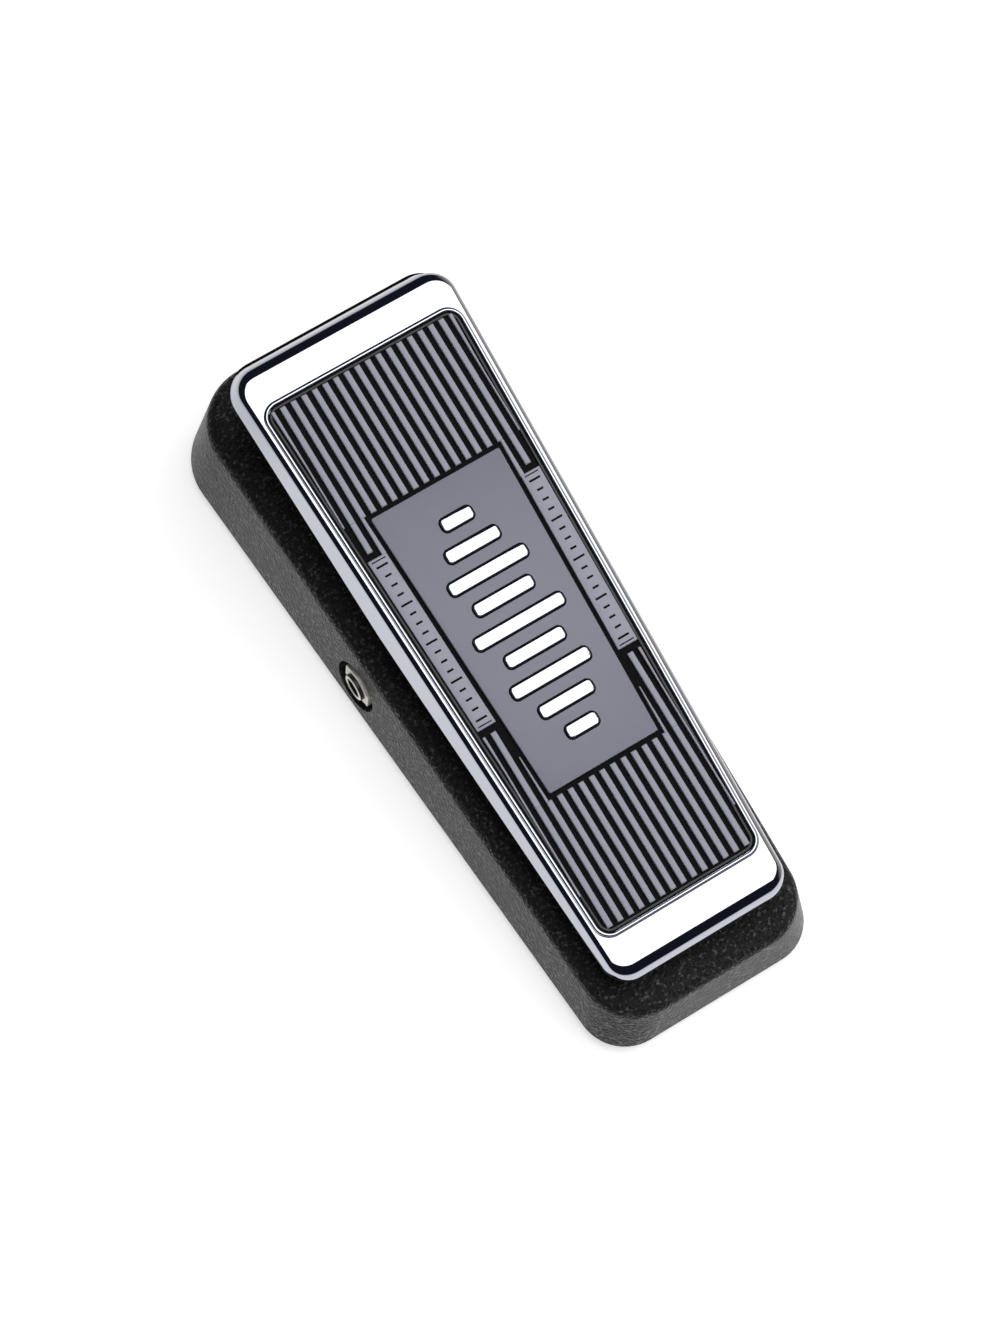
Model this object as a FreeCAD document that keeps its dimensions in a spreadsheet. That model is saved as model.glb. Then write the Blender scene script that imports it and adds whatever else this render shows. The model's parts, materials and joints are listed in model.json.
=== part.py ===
"""Rocker (treadle) effects pedal, modelled in millimetres.

Frame: +Z up, +Y towards the toe end, +X towards the input jack. The origin is on the floor, under
the middle of the housing. The treadle and all it carries are drawn flat in the treadle's own frame
(u along the treadle, w out of its top face) and then set at its resting tilt.
"""
import FreeCAD
import Part

import math
import os
import re

import Sketcher

Vector = FreeCAD.Vector
Rotation = FreeCAD.Rotation
Placement = FreeCAD.Placement

# Driving dimensions. Lengths are in mm and angles in degrees.
SIZES = {
    # cast housing
    "base_bottom": 4.5,
    "base_half_length": 126.0,
    "toe_half_width": 51.1,
    "heel_half_width": 39.5,
    "wall_lean": 0.13,
    "toe_corner": 22.5,
    "heel_corner": 15.5,
    "top_toe_corner": 20.6,
    "top_heel_corner": 17.6,
    "deck_height": 33.05,
    "deck_slope": 3.52,
    "wall": 3.0,
    "deck_round": 3.5,
    "plate_ledge": 1.5,
    "plate_thick": 1.5,
    "plate_gap": 0.3,
    # fasteners and feet
    "foot_radius": 8.0,
    "toe_boss_x": 38.5,
    "toe_boss_y": 108.0,
    "heel_boss_x": 27.5,
    "heel_boss_y": 109.0,
    "boss_radius": 4.5,
    "screw_radius": 1.7,
    "screw_hole": 1.75,
    # jacks in the side walls
    "jack_y": 17.0,
    "jack_z": 16.2,
    "jack_recess_radius": 9.2,
    "jack_seat_x": 41.2,
    "jack_inner_x": 38.5,
    "jack_bush_radius": 4.7,
    "jack_bore": 3.2,
    "power_y": 62.0,
    "power_z": 19.0,
    "power_seat_x": 43.0,
    # treadle hinge
    "tilt": 9.86,
    "treadle_height": 62.5,
    "pivot_u": 3.0,
    "pivot_w": -12.7,
    "axle_radius": 3.0,
    "lug_inner_x": 17.5,
    "lug_outer_x": 24.0,
    "lug_radius": 7.0,
    "bush_radius": 4.5,
    "running_gap": 0.05,
    # treadle
    "treadle_toe": 107.8,
    "treadle_heel": 115.9,
    "treadle_toe_half": 39.1,
    "treadle_heel_half": 31.4,
    "treadle_corner": 8.0,
    "treadle_wall": 2.6,
    "treadle_top": 3.2,
    "treadle_round": 2.6,
    "skirt_flare": 1.3,
    "skirt_depth": 16.0,
    "bead_width": 1.45,
    "bead_height": 0.8,
    # rubber tread
    "pad_toe": 91.85,
    "pad_heel": 100.5,
    "pad_toe_half": 34.9,
    "pad_heel_half": 28.3,
    "pad_corner": 4.5,
    "pad_recess": 1.2,
    "pad_base": 1.0,
    "rib_pitch": 3.845,
    "rib_width": 1.95,
    "rib_height": 1.4,
    "plate_toe": 46.2,
    "plate_heel": 54.4,
    "plate_toe_half": 23.35,
    "plate_heel_half": 19.8,
    "toe_ribs_low": 47.6,
    "toe_ribs_high": 90.4,
    "heel_ribs_low": -98.6,
    "heel_ribs_high": -55.8,
    "bar_width": 4.4,
    "bar_pitch": 9.3,
    "bar_middle": -4.1,
    "bar_height": 0.9,
    # rack and pinion
    "pin_reach": 32.0,
    "rock_travel": 14.5,
    "pin_radius": 1.5,
    "gear_module": 0.8,
    "gear_teeth": 14,
    "pressure_angle": 25.0,
    "addendum": 0.7,
    "dedendum": 1.0,
    "backlash": 0.12,
    "gear_half_width": 3.5,
    "gear_z": 20.0,
    "rack_back": 4.0,
    "rack_gap": 0.2,
    # footswitch
    "switch_y": 95.0,
    "switch_seat_z": 40.8,
    "switch_under_z": 34.4,
    "switch_bush_radius": 6.0,
    "plunger_radius": 3.6,
    "plunger_top_z": 49.0,
}

doc = FreeCAD.newDocument("rocker_pedal")
sizes = doc.addObject("Spreadsheet::Sheet", "sizes")
for row, (alias, number) in enumerate(SIZES.items(), start=1):
    sizes.set(f"A{row}", alias)
    sizes.set(f"B{row}", str(number))
    sizes.setAlias(f"B{row}", alias)
doc.recompute()

NODES = []


def value(expression):
    """The number that an expression over the sheet gives."""
    return float(sizes.evalExpression(str(expression)))


def from_sheet(expression):
    """The same expression with each alias written as a cell of the sheet."""
    return re.sub(r"[a-z][a-z_]+", lambda word: "sizes." + word.group(), str(expression))


def bind(thing, prop, expression):
    """Bind a property to an expression over the sheet."""
    thing.setExpression(prop, from_sheet(expression))


def place(thing, x, y, z, axis=None, angle=0.0):
    """Put a primitive at (x, y, z), each an expression, turned about a row axis by a fixed angle."""
    turn = Rotation(Vector(*axis), angle) if axis else Rotation()
    thing.Placement = Placement(Vector(value(x), value(y), value(z)), turn)
    for name, expression in (("x", x), ("y", y), ("z", z)):
        bind(thing, "Placement.Base." + name, expression)


AXIS_TURNS = {"x": ((0, 1, 0), 90.0), "y": ((1, 0, 0), -90.0), "z": (None, 0.0)}


def cylinder(kind, name, radius, height, start, along="z", owner=None):
    """A cylinder from the point start, running height mm along a row axis."""
    thing = (owner.newObject if owner else doc.addObject)(kind, name)
    bind(thing, "Radius", radius)
    bind(thing, "Height", height)
    axis, angle = AXIS_TURNS[along]
    place(thing, *start, axis, angle)
    return thing


def box(kind, name, low, high, owner=None):
    """A box between two corners whose coordinates are expressions."""
    thing = (owner.newObject if owner else doc.addObject)(kind, name)
    for prop, a, b in zip(("Length", "Width", "Height"), low, high):
        bind(thing, prop, f"({b}) - ({a})")
    place(thing, *low)
    return thing


def rod(name, radius, height, start, along="z"):
    return cylinder("Part::Cylinder", name, radius, height, start, along)


def block(name, low, high):
    return box("Part::Box", name, low, high)


def fuse(name, parts):
    thing = doc.addObject("Part::MultiFuse", name)
    thing.Shapes = parts
    return thing


def cut(name, base, tools):
    """Cut one or more tools out of a base."""
    tool = tools[0] if len(tools) == 1 else fuse(name + "_tools", tools)
    thing = doc.addObject("Part::Cut", name)
    thing.Base = base
    thing.Tool = tool
    return thing


def group(name, parts):
    """Several separate solids that make one node."""
    thing = doc.addObject("Part::Compound", name)
    thing.Links = parts
    return thing


def node(thing, label, placement=None):
    """Name a finished sub-part and, for one drawn in the treadle's frame, set it at its tilt."""
    thing.Label = label
    if placement:
        thing.Placement = placement
    NODES.append(thing)
    return thing


# ---------------------------------------------------------------- places worked out from the sizes

TILT = math.radians(value("tilt"))
TREADLE_FRAME = Placement(Vector(0, 0, value("treadle_height")), Rotation(Vector(1, 0, 0), value("tilt")))


def in_row(u, w):
    """Row-frame (y, z) of a point given in the treadle's frame."""
    point = TREADLE_FRAME.multVec(Vector(0, u, w))
    return point.y, point.z


PIVOT_Y, PIVOT_Z = in_row(value("pivot_u"), value("pivot_w"))

# The rack's pin swings the same angle above and below the pivot, so the rack moves almost straight.
HALF_ROCK = math.radians(value("rock_travel") / 2)
PIN_Y = PIVOT_Y + value("pin_reach") * math.cos(HALF_ROCK)
PIN_Z = PIVOT_Z + value("pin_reach") * math.sin(HALF_ROCK)
PIN_LOCAL = TREADLE_FRAME.inverse().multVec(Vector(0, PIN_Y, PIN_Z))
RACK_TRAVEL = 2 * value("pin_reach") * math.sin(HALF_ROCK)
PITCH_RADIUS = value("gear_module * gear_teeth / 2")
RACK_PITCH_Y = PIN_Y + 1.4
GEAR_Y = RACK_PITCH_Y + PITCH_RADIUS
GEAR_Z = value("gear_z")


def deck_z(y):
    """Height of the housing's sloping top face at y."""
    return value("deck_height") + y * math.tan(math.radians(value("deck_slope")))


# ---------------------------------------------------------------- sketch helpers


def origin_plane(body, role):
    return next(item for item in body.Origin.OriginFeatures if item.Role == role)


def sketch_on(body, name, role="XY_Plane", lift=0, tip=0):
    """A sketch on one of the body's own planes, lifted along its normal and tipped about its x axis."""
    sketch = body.newObject("Sketcher::SketchObject", name)
    sketch.AttachmentSupport = [(origin_plane(body, role), "")]
    sketch.MapMode = "FlatFace"
    sketch.AttachmentOffset = Placement(Vector(0, 0, value(lift)), Rotation(Vector(1, 0, 0), value(tip)))
    bind(sketch, "AttachmentOffset.Base.z", lift)
    return sketch


def size_constraint(sketch, label, expression, *constraint):
    """Add a named dimension and bind it to the sheet."""
    index = sketch.addConstraint(Sketcher.Constraint(*constraint, value(expression)))
    sketch.renameConstraint(index, label)
    bind(sketch, "Constraints." + label, expression)


def trapezoid(sketch, toe_half, toe, heel_half, heel, toe_radius, heel_radius, tag=""):
    """A round-cornered trapezoid, symmetric about the y axis: toe edge at +toe, heel edge at -heel."""
    half = [value(toe_half), value(toe_half), value(heel_half), value(heel_half)]
    ahead = [value(toe), value(toe), -value(heel), -value(heel)]
    radius_names = [toe_radius, toe_radius, heel_radius, heel_radius]
    side = [1, -1, -1, 1]
    corners = [Vector(side[i] * half[i], ahead[i], 0) for i in range(4)]
    starts, ends, arcs = [], [], []
    for i, corner in enumerate(corners):
        radius = value(radius_names[i])
        back = (corners[i - 1] - corner).normalize()
        onward = (corners[(i + 1) % 4] - corner).normalize()
        half_angle = math.acos(back.dot(onward)) / 2
        reach = radius / math.tan(half_angle)
        centre = corner + (back + onward).normalize() * (radius / math.sin(half_angle))
        starts.append(corner + back * reach)
        ends.append(corner + onward * reach)
        first = math.atan2(starts[i].y - centre.y, starts[i].x - centre.x)
        last = math.atan2(ends[i].y - centre.y, ends[i].x - centre.x)
        last += 2 * math.pi if last < first else 0
        arcs.append(Part.ArcOfCircle(Part.Circle(centre, Vector(0, 0, 1), radius), first, last))
    arc_ids = [sketch.addGeometry(arc, False) for arc in arcs]
    line_ids = [
        sketch.addGeometry(Part.LineSegment(ends[i], starts[(i + 1) % 4]), False) for i in range(4)
    ]
    point_ids = [sketch.addGeometry(Part.Point(corner), True) for corner in corners]
    for i in range(4):
        after = (i + 1) % 4
        sketch.addConstraint(Sketcher.Constraint("Tangent", arc_ids[i], 2, line_ids[i], 1))
        sketch.addConstraint(Sketcher.Constraint("Tangent", line_ids[i], 2, arc_ids[after], 1))
        sketch.addConstraint(Sketcher.Constraint("PointOnObject", point_ids[i], 1, line_ids[i]))
        sketch.addConstraint(Sketcher.Constraint("PointOnObject", point_ids[i], 1, line_ids[i - 1]))
        size_constraint(sketch, f"{tag}radius{i}", radius_names[i], "Radius", arc_ids[i])
        width = toe_half if i < 2 else heel_half
        ends_of_width = (-1, 1, point_ids[i], 1) if side[i] > 0 else (point_ids[i], 1, -1, 1)
        size_constraint(sketch, f"{tag}half{i}", width, "DistanceX", *ends_of_width)
    sketch.addConstraint(Sketcher.Constraint("Horizontal", line_ids[0]))
    sketch.addConstraint(Sketcher.Constraint("Horizontal", line_ids[2]))
    size_constraint(sketch, tag + "toe", toe, "DistanceY", -1, 1, line_ids[0], 1)
    size_constraint(sketch, tag + "heel", heel, "DistanceY", line_ids[2], 1, -1, 1)


def polygon(sketch, points):
    """A closed outline of straight runs, each point pinned where it is."""
    count = len(points)
    for i, (x, y) in enumerate(points):
        after = points[(i + 1) % count]
        sketch.addGeometry(Part.LineSegment(Vector(x, y, 0), Vector(*after, 0)), False)
    for i in range(count):
        sketch.addConstraint(Sketcher.Constraint("Coincident", i, 2, (i + 1) % count, 1))
    for i, (x, y) in enumerate(points):
        sketch.addConstraint(Sketcher.Constraint("DistanceX", -1, 1, i, 1, x))
        sketch.addConstraint(Sketcher.Constraint("DistanceY", -1, 1, i, 1, y))


def body_named(name):
    return doc.addObject("PartDesign::Body", name)


def pad(body, sketch, name, length, reverse=False, middle=False):
    thing = body.newObject("PartDesign::Pad", name)
    thing.Profile = sketch
    bind(thing, "Length", length)
    thing.Reversed = reverse
    thing.Midplane = middle
    return thing


def pocket(body, sketch, name, length, reverse=False, middle=False):
    """A pocket that must take something away: its volume is compared before and after."""
    before_body = body.Tip
    doc.recompute()
    before = before_body.Shape.Volume
    thing = body.newObject("PartDesign::Pocket", name)
    thing.Profile = sketch
    bind(thing, "Length", length)
    thing.Reversed = reverse
    thing.Midplane = middle
    doc.recompute()
    if thing.Shape.Volume > before - 0.1:
        raise RuntimeError(f"{name} cuts nothing: {before} {thing.Shape.Volume}")
    return thing


def loft(body, kind, name, first, second):
    thing = body.newObject("PartDesign::" + kind, name)
    thing.Profile = first
    thing.Sections = [second]
    thing.Ruled = True
    return thing


def add_rod(body, name, radius, height, start, along="z"):
    return cylinder("PartDesign::AdditiveCylinder", name, radius, height, start, along, body)


def drill(body, name, radius, height, start, along="z"):
    return cylinder("PartDesign::SubtractiveCylinder", name, radius, height, start, along, body)


def add_block(body, name, low, high):
    return box("PartDesign::AdditiveBox", name, low, high, body)


def carve(body, name, low, high):
    return box("PartDesign::SubtractiveBox", name, low, high, body)


def round_edges(body, name, radius, wanted):
    """Fillet the edges of the body's present shape that the test picks."""
    doc.recompute()
    base = body.Tip
    names = [f"Edge{i}" for i, edge in enumerate(base.Shape.Edges, start=1) if wanted(edge)]
    thing = body.newObject("PartDesign::Fillet", name)
    thing.Base = (base, names)
    bind(thing, "Radius", radius)
    doc.recompute()
    return thing


SIDES = (("left", -1), ("right", 1))


def from_side(side, near, far):
    """Low and high x of a stretch between two distances from the middle, on one side."""
    if side > 0:
        return near, far
    return f"-({far})", f"-({near})"


# ---------------------------------------------------------------- housing

SLOPE = math.tan(math.radians(value("deck_slope")))


def deck_outline(body, name, inset, drop):
    """The housing's plan on a plane parallel to the sloping top: drop below it, inset from the wall."""
    sketch = sketch_on(body, name, lift=f"deck_height - {drop}", tip="deck_slope")
    toe_rise = f"(deck_height + base_half_length * {SLOPE:.5f} - {drop} - base_bottom)"
    heel_rise = f"(deck_height - base_half_length * {SLOPE:.5f} - {drop} - base_bottom)"
    trapezoid(
        sketch,
        f"toe_half_width - wall_lean * {toe_rise} - {inset}",
        f"base_half_length - wall_lean * {toe_rise} - {inset}",
        f"heel_half_width - wall_lean * {heel_rise} - {inset}",
        f"base_half_length - wall_lean * {heel_rise} - {inset}",
        f"top_toe_corner - {inset}",
        f"top_heel_corner - {inset}",
    )
    return sketch


def foot_outline(body, name, inset, lift="base_bottom"):
    sketch = sketch_on(body, name, lift=lift)
    trapezoid(
        sketch,
        f"toe_half_width - {inset}",
        f"base_half_length - {inset}",
        f"heel_half_width - {inset}",
        f"base_half_length - {inset}",
        f"toe_corner - {inset}",
        f"heel_corner - {inset}",
    )
    return sketch


FOOT_SPOTS = [
    ("toe_left", "-toe_boss_x", "toe_boss_y"),
    ("toe_right", "toe_boss_x", "toe_boss_y"),
    ("heel_left", "-heel_boss_x", "-heel_boss_y"),
    ("heel_right", "heel_boss_x", "-heel_boss_y"),
]
BOARD_SPOTS = [(-24.0, -38.0), (24.0, -38.0), (-24.0, 0.0), (24.0, 0.0)]
BOARD_TOP = 21.6
BRACKET_SPOTS = [(-8.5, GEAR_Y + 3.0), (-8.5, GEAR_Y + 11.0)]
BRACKET_TOP = 31.0
GUIDE_SPOT = (0.0, 25.5)
GUIDE_TOP = 29.0
STOP_Y, STOP_POST_Z = in_row(-100, -8)
STOP_SEAT_Z = deck_z(STOP_Y + 7) + 0.4


def make_housing():
    body = body_named("housing_body")
    loft(
        body,
        "AdditiveLoft",
        "outer_shell",
        deck_outline(body, "outer_deck", "0", "0"),
        foot_outline(body, "outer_foot", "0"),
    )
    round_edges(
        body,
        "deck_edge",
        "deck_round",
        lambda edge: all(abs(v.Z - deck_z(v.Y)) < 0.01 for v in edge.Vertexes),
    )
    loft(
        body,
        "SubtractiveLoft",
        "inner_hollow",
        deck_outline(body, "inner_deck", "wall", "wall"),
        foot_outline(body, "inner_foot", "wall"),
    )
    ledge = foot_outline(body, "plate_seat_outline", "plate_ledge")
    pocket(body, ledge, "plate_seat", "plate_thick", reverse=True)

    for name, x, y in FOOT_SPOTS:
        height = deck_z(value(y)) - value("wall") / 2 - value("base_bottom + plate_thick + 0.05")
        add_rod(body, "boss_" + name, "boss_radius", height, (x, y, "base_bottom + plate_thick + 0.05"))
        drill(body, "pilot_" + name, "screw_hole", 14, (x, y, "base_bottom + plate_thick"))

    for name, side in SIDES:
        low, _ = from_side(side, "jack_inner_x", "jack_inner_x + 4.1")
        add_rod(body, f"{name}_jack_boss", "jack_recess_radius + 0.8", 4.1, (low, "jack_y", "jack_z"), "x")
        low, _ = from_side(side, "jack_seat_x", "jack_seat_x + 10")
        drill(body, f"{name}_jack_recess", "jack_recess_radius", 10, (low, "jack_y", "jack_z"), "x")
        low, _ = from_side(side, "jack_inner_x - 1", "jack_inner_x + 9")
        drill(body, f"{name}_jack_hole", "jack_bush_radius + 0.1", 10, (low, "jack_y", "jack_z"), "x")

    add_rod(body, "power_boss", 8.5, 4.0, ("power_seat_x - 3.5", "power_y", "power_z"), "x")
    drill(body, "power_recess", 7.2, 12, ("power_seat_x", "power_y", "power_z"), "x")
    drill(body, "power_hole", 5.6, 12, ("power_seat_x - 6", "power_y", "power_z"), "x")

    for name, side in SIDES:
        low, high = from_side(side, "lug_inner_x", "lug_outer_x")
        add_block(
            body,
            name + "_lug_post",
            (low, f"{PIVOT_Y} - lug_radius", deck_z(PIVOT_Y) - 2.5),
            (high, f"{PIVOT_Y} + lug_radius", PIVOT_Z),
        )
        add_rod(body, name + "_lug_head", "lug_radius", f"{high} - ({low})", (low, PIVOT_Y, PIVOT_Z), "x")
        drill(body, name + "_lug_bore", "bush_radius", f"{high} - ({low})", (low, PIVOT_Y, PIVOT_Z), "x")

    add_rod(
        body, "switch_boss", 12.5, "switch_seat_z - switch_under_z", (0, "switch_y", "switch_under_z")
    )
    drill(body, "switch_hole", "switch_bush_radius + 0.1", 20, (0, "switch_y", "switch_under_z - 5"))
    carve(body, "rack_slot", (-4.8, RACK_PITCH_Y - 5.4, 20), (4.8, RACK_PITCH_Y + 2.0, 50))

    def standoff(name, spot, low_z, radius, depth):
        x, y = spot
        add_rod(body, name, radius, deck_z(y) - 1.5 - low_z, (x, y, low_z))
        drill(body, name + "_pilot", 1.3, depth + 0.5, (x, y, low_z - 0.5))

    for name, side in SIDES:
        low_z = deck_z(STOP_Y) - 2
        add_rod(body, name + "_stop_seat", 7, STOP_SEAT_Z - low_z, (14 * side, STOP_Y, low_z))

    for i, spot in enumerate(BOARD_SPOTS):
        standoff(f"board_standoff{i}", spot, BOARD_TOP + 0.05, 3.0, 5.0)
    for i, spot in enumerate(BRACKET_SPOTS):
        standoff(f"bracket_standoff{i}", spot, BRACKET_TOP + 0.05, 3.2, 3.2)
    standoff("guide_standoff", GUIDE_SPOT, GUIDE_TOP + 0.05, 3.2, 4.2)
    node(body, "housing")


def make_bottom_plate():
    body = body_named("bottom_plate_body")
    outline = foot_outline(body, "plate_outline", "(plate_ledge + plate_gap)")
    pad(body, outline, "sheet", "plate_thick - 0.05")
    for name, x, y in FOOT_SPOTS:
        drill(body, "hole_" + name, "screw_radius + 0.4", 6, (x, y, "base_bottom - 2"))
    node(body, "bottom_plate")


def make_feet():
    feet, screws = [], []
    for name, x, y in FOOT_SPOTS:
        disc = rod("disc_" + name, "foot_radius", "base_bottom - 0.05", (x, y, 0))
        tapered = doc.addObject("Part::Chamfer", "chamfered_" + name)
        tapered.Base = disc
        doc.recompute()
        rim = [i for i, e in enumerate(disc.Shape.Edges, start=1) if e.BoundBox.ZMax < 0.01]
        tapered.Edges = [(i, 0.8, 0.8) for i in rim]
        well = rod("well_" + name, 4.3, 2.6, (x, y, -0.1))
        hole = rod("foot_hole_" + name, "screw_radius + 0.3", 8, (x, y, -0.1))
        feet.append(cut("foot_" + name, tapered, [well, hole]))
        head = rod("head_" + name, 3.6, 1.6, (x, y, 0.85))
        shank = rod("shank_" + name, "screw_radius", 15, (x, y, 2.4))
        slot_a = block("slot_a_" + name, (f"{x} - 2", f"{y} - 0.4", 0.5), (f"{x} + 2", f"{y} + 0.4", 1.6))
        slot_b = block("slot_b_" + name, (f"{x} - 0.4", f"{y} - 2", 0.5), (f"{x} + 0.4", f"{y} + 2", 1.6))
        screws.append(cut("screw_" + name, fuse("blank_" + name, [head, shank]), [slot_a, slot_b]))
    node(group("feet_group", feet), "rubber_feet")
    node(group("screw_group", screws), "foot_screws")


# ---------------------------------------------------------------- treadle


def treadle_outline(body, name, grow, lift):
    sketch = sketch_on(body, name, lift=lift)
    trapezoid(
        sketch,
        f"treadle_toe_half + {grow}",
        f"treadle_toe + {grow}",
        f"treadle_heel_half + {grow}",
        f"treadle_heel + {grow}",
        f"treadle_corner + {grow}",
        f"treadle_corner + {grow}",
    )
    return sketch


def pad_outline(body, name, grow, lift):
    sketch = sketch_on(body, name, lift=lift)
    trapezoid(
        sketch,
        f"pad_toe_half + {grow}",
        f"pad_toe + {grow}",
        f"pad_heel_half + {grow}",
        f"pad_heel + {grow}",
        f"pad_corner + {grow}",
        f"pad_corner + {grow}",
    )
    return sketch


def make_treadle():
    body = body_named("treadle_body")
    loft(
        body,
        "AdditiveLoft",
        "treadle_blank",
        treadle_outline(body, "rim_outline", "0", "0"),
        treadle_outline(body, "skirt_outline", "skirt_flare", "-skirt_depth"),
    )
    round_edges(
        body,
        "rim_round",
        "treadle_round",
        lambda edge: all(abs(v.Z) < 0.01 for v in edge.Vertexes),
    )
    loft(
        body,
        "SubtractiveLoft",
        "treadle_hollow",
        treadle_outline(body, "hollow_top", "-treadle_wall", "-treadle_top"),
        treadle_outline(body, "hollow_bottom", "skirt_flare - treadle_wall", "-skirt_depth"),
    )
    # The skirt is deepest beside the hinge and runs up in a straight line to each end.
    below = sketch_on(body, "skirt_line", "YZ_Plane")
    polygon(below, [(10.0, -15.0), (112.0, -11.0), (112.0, -30.0), (-120.0, -30.0), (-120.0, -6.6)])
    pocket(body, below, "skirt_trim", 120, middle=True)

    bead = pad_outline(body, "bead_outer", "bead_width", "-0.1")
    trapezoid(
        bead,
        "pad_toe_half",
        "pad_toe",
        "pad_heel_half",
        "pad_heel",
        "pad_corner",
        "pad_corner",
        tag="inner_",
    )
    pad(body, bead, "bead", "bead_height + 0.1")
    pocket(body, pad_outline(body, "recess_outline", "0", "0"), "pad_recess_pocket", "pad_recess")

    for name, side in SIDES:
        low, high = from_side(side, "lug_outer_x + 1.5", "treadle_heel_half + 2.2")
        add_block(
            body,
            name + "_arm",
            (low, "pivot_u - 6.5", "pivot_w"),
            (high, "pivot_u + 6.5", "-treadle_top + 0.5"),
        )
        add_rod(body, name + "_arm_head", 6.5, f"{high} - ({low})", (low, "pivot_u", "pivot_w"), "x")
        ear_low, ear_high = from_side(side, 4.0, 7.0)
        add_block(
            body,
            name + "_ear",
            (ear_low, f"{PIN_LOCAL.y} - 4", PIN_LOCAL.z),
            (ear_high, f"{PIN_LOCAL.y} + 4", "-treadle_top + 0.5"),
        )
        add_rod(body, name + "_ear_head", 4, 3, (ear_low, PIN_LOCAL.y, PIN_LOCAL.z), "x")
        drill(
            body,
            name + "_set_hole",
            1.3,
            6,
            (f"{side} * 29.5", "pivot_u", "pivot_w - 7"),
        )
        add_rod(body, name + "_stop_post", 5, 5.3, (14 * side, -100, -8))
    drill(body, "axle_bore", "axle_radius + 0.02", 65.4, (-32.7, "pivot_u", "pivot_w"), "x")
    drill(body, "pin_bore", "pin_radius + 0.02", 20, (-10, PIN_LOCAL.y, PIN_LOCAL.z), "x")
    node(body, "treadle", TREADLE_FRAME)


def rib_row(body, name, count, low_u, high_u):
    """A row of straight ribs, evenly spaced about the middle."""
    sketch = sketch_on(body, name + "_outline", lift="-pad_recess + pad_base - 0.1")
    first = -(count - 1) / 2 * value("rib_pitch")
    half = value("rib_width") / 2
    polygon(
        sketch,
        [(first - half, low_u), (first + half, low_u), (first + half, high_u), (first - half, high_u)],
    )
    rib = pad(body, sketch, name + "_rib", "rib_height + 0.1")
    doc.recompute()
    row = body.newObject("PartDesign::LinearPattern", name)
    row.Originals = [rib]
    row.Direction = (sketch, ["H_Axis"])
    row.Length = (count - 1) * value("rib_pitch")
    row.Occurrences = count
    body.Tip = row
    doc.recompute()


def make_tread():
    body = body_named("tread_body")
    pad(body, pad_outline(body, "sheet_outline", "-0.1", "-pad_recess + 0.03"), "tread_sheet", "pad_base")
    rib_row(body, "toe_ribs", 16, value("toe_ribs_low"), value("toe_ribs_high"))
    rib_row(body, "heel_ribs", 14, value("heel_ribs_low"), value("heel_ribs_high"))
    node(body, "rubber_tread", TREADLE_FRAME)

    plate = body_named("badge_plate_body")
    outline = sketch_on(plate, "badge_outline", lift="-pad_recess + pad_base + 0.05")
    trapezoid(outline, "plate_toe_half", "plate_toe", "plate_heel_half", "plate_heel", 0.6, 0.6)
    pad(plate, outline, "badge_sheet", "rib_height")
    node(plate, "badge_plate", TREADLE_FRAME)


BAR_LENGTHS = (11, 19, 28, 21, 32, 21, 28, 19, 11)


def make_badge():
    """Nine raised bars of different lengths, like a level meter, along the badge plate."""
    top = "-pad_recess + pad_base + rib_height + 0.07"
    bars = []
    for i, length in enumerate(BAR_LENGTHS):
        middle = f"bar_middle + ({i} - {len(BAR_LENGTHS) // 2}) * bar_pitch"
        low = (-length / 2, f"{middle} - bar_width / 2", top)
        high = (length / 2, f"{middle} + bar_width / 2", f"{top} + bar_height")
        bar = block(f"bar{i}", low, high)
        soft = doc.addObject("Part::Fillet", f"soft_bar{i}")
        soft.Base = bar
        doc.recompute()
        upright = [
            n for n, e in enumerate(bar.Shape.Edges, start=1) if e.BoundBox.ZLength > 0.5
        ]
        soft.Edges = [(n, 2.0, 2.0) for n in upright]
        bars.append(soft)
    node(group("badge_group", bars), "badge_bars", TREADLE_FRAME)


# ---------------------------------------------------------------- hinge


def make_hinge():
    axle = rod("axle_rod", "axle_radius", 65, (-32.5, "pivot_u", "pivot_w"), "x")
    node(axle_with_ends(axle), "pivot_axle", TREADLE_FRAME)

    screws = []
    for name, side in SIDES:
        x = 29.5 * side
        shank = rod(name + "_set_screw", 1.25, 3.4, (x, "pivot_u", "pivot_w - axle_radius - 3.5"))
        socket = rod(name + "_set_socket", 0.7, 1.4, (x, "pivot_u", "pivot_w - axle_radius - 3.6"))
        screws.append(cut(name + "_set", shank, [socket]))
    node(group("set_group", screws), "axle_set_screws", TREADLE_FRAME)

    bushes = []
    for name, side in SIDES:
        low, high = from_side(side, "lug_inner_x", "lug_outer_x")
        sleeve = rod(name + "_sleeve", "bush_radius - 0.02", "lug_outer_x - lug_inner_x",
                     (low, PIVOT_Y, PIVOT_Z), "x")
        flange_x = from_side(side, "lug_outer_x + 0.02", "lug_outer_x + 1.0")[0]
        flange = rod(name + "_flange", 6.2, 0.98, (flange_x, PIVOT_Y, PIVOT_Z), "x")
        bore = rod(name + "_bush_bore", "axle_radius + running_gap", 12,
                   (from_side(side, "lug_inner_x - 2", "lug_inner_x + 10")[0], PIVOT_Y, PIVOT_Z), "x")
        inner_ring = from_side(side, "lug_outer_x - 0.5", "lug_outer_x + 0.5")[0]
        neck = rod(name + "_neck", "bush_radius - 0.02", 1.0, (inner_ring, PIVOT_Y, PIVOT_Z), "x")
        bushes.append(cut(name + "_bush", fuse(name + "_bush_blank", [sleeve, neck, flange]), [bore]))
    node(group("bush_group", bushes), "pivot_bushes")


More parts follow.
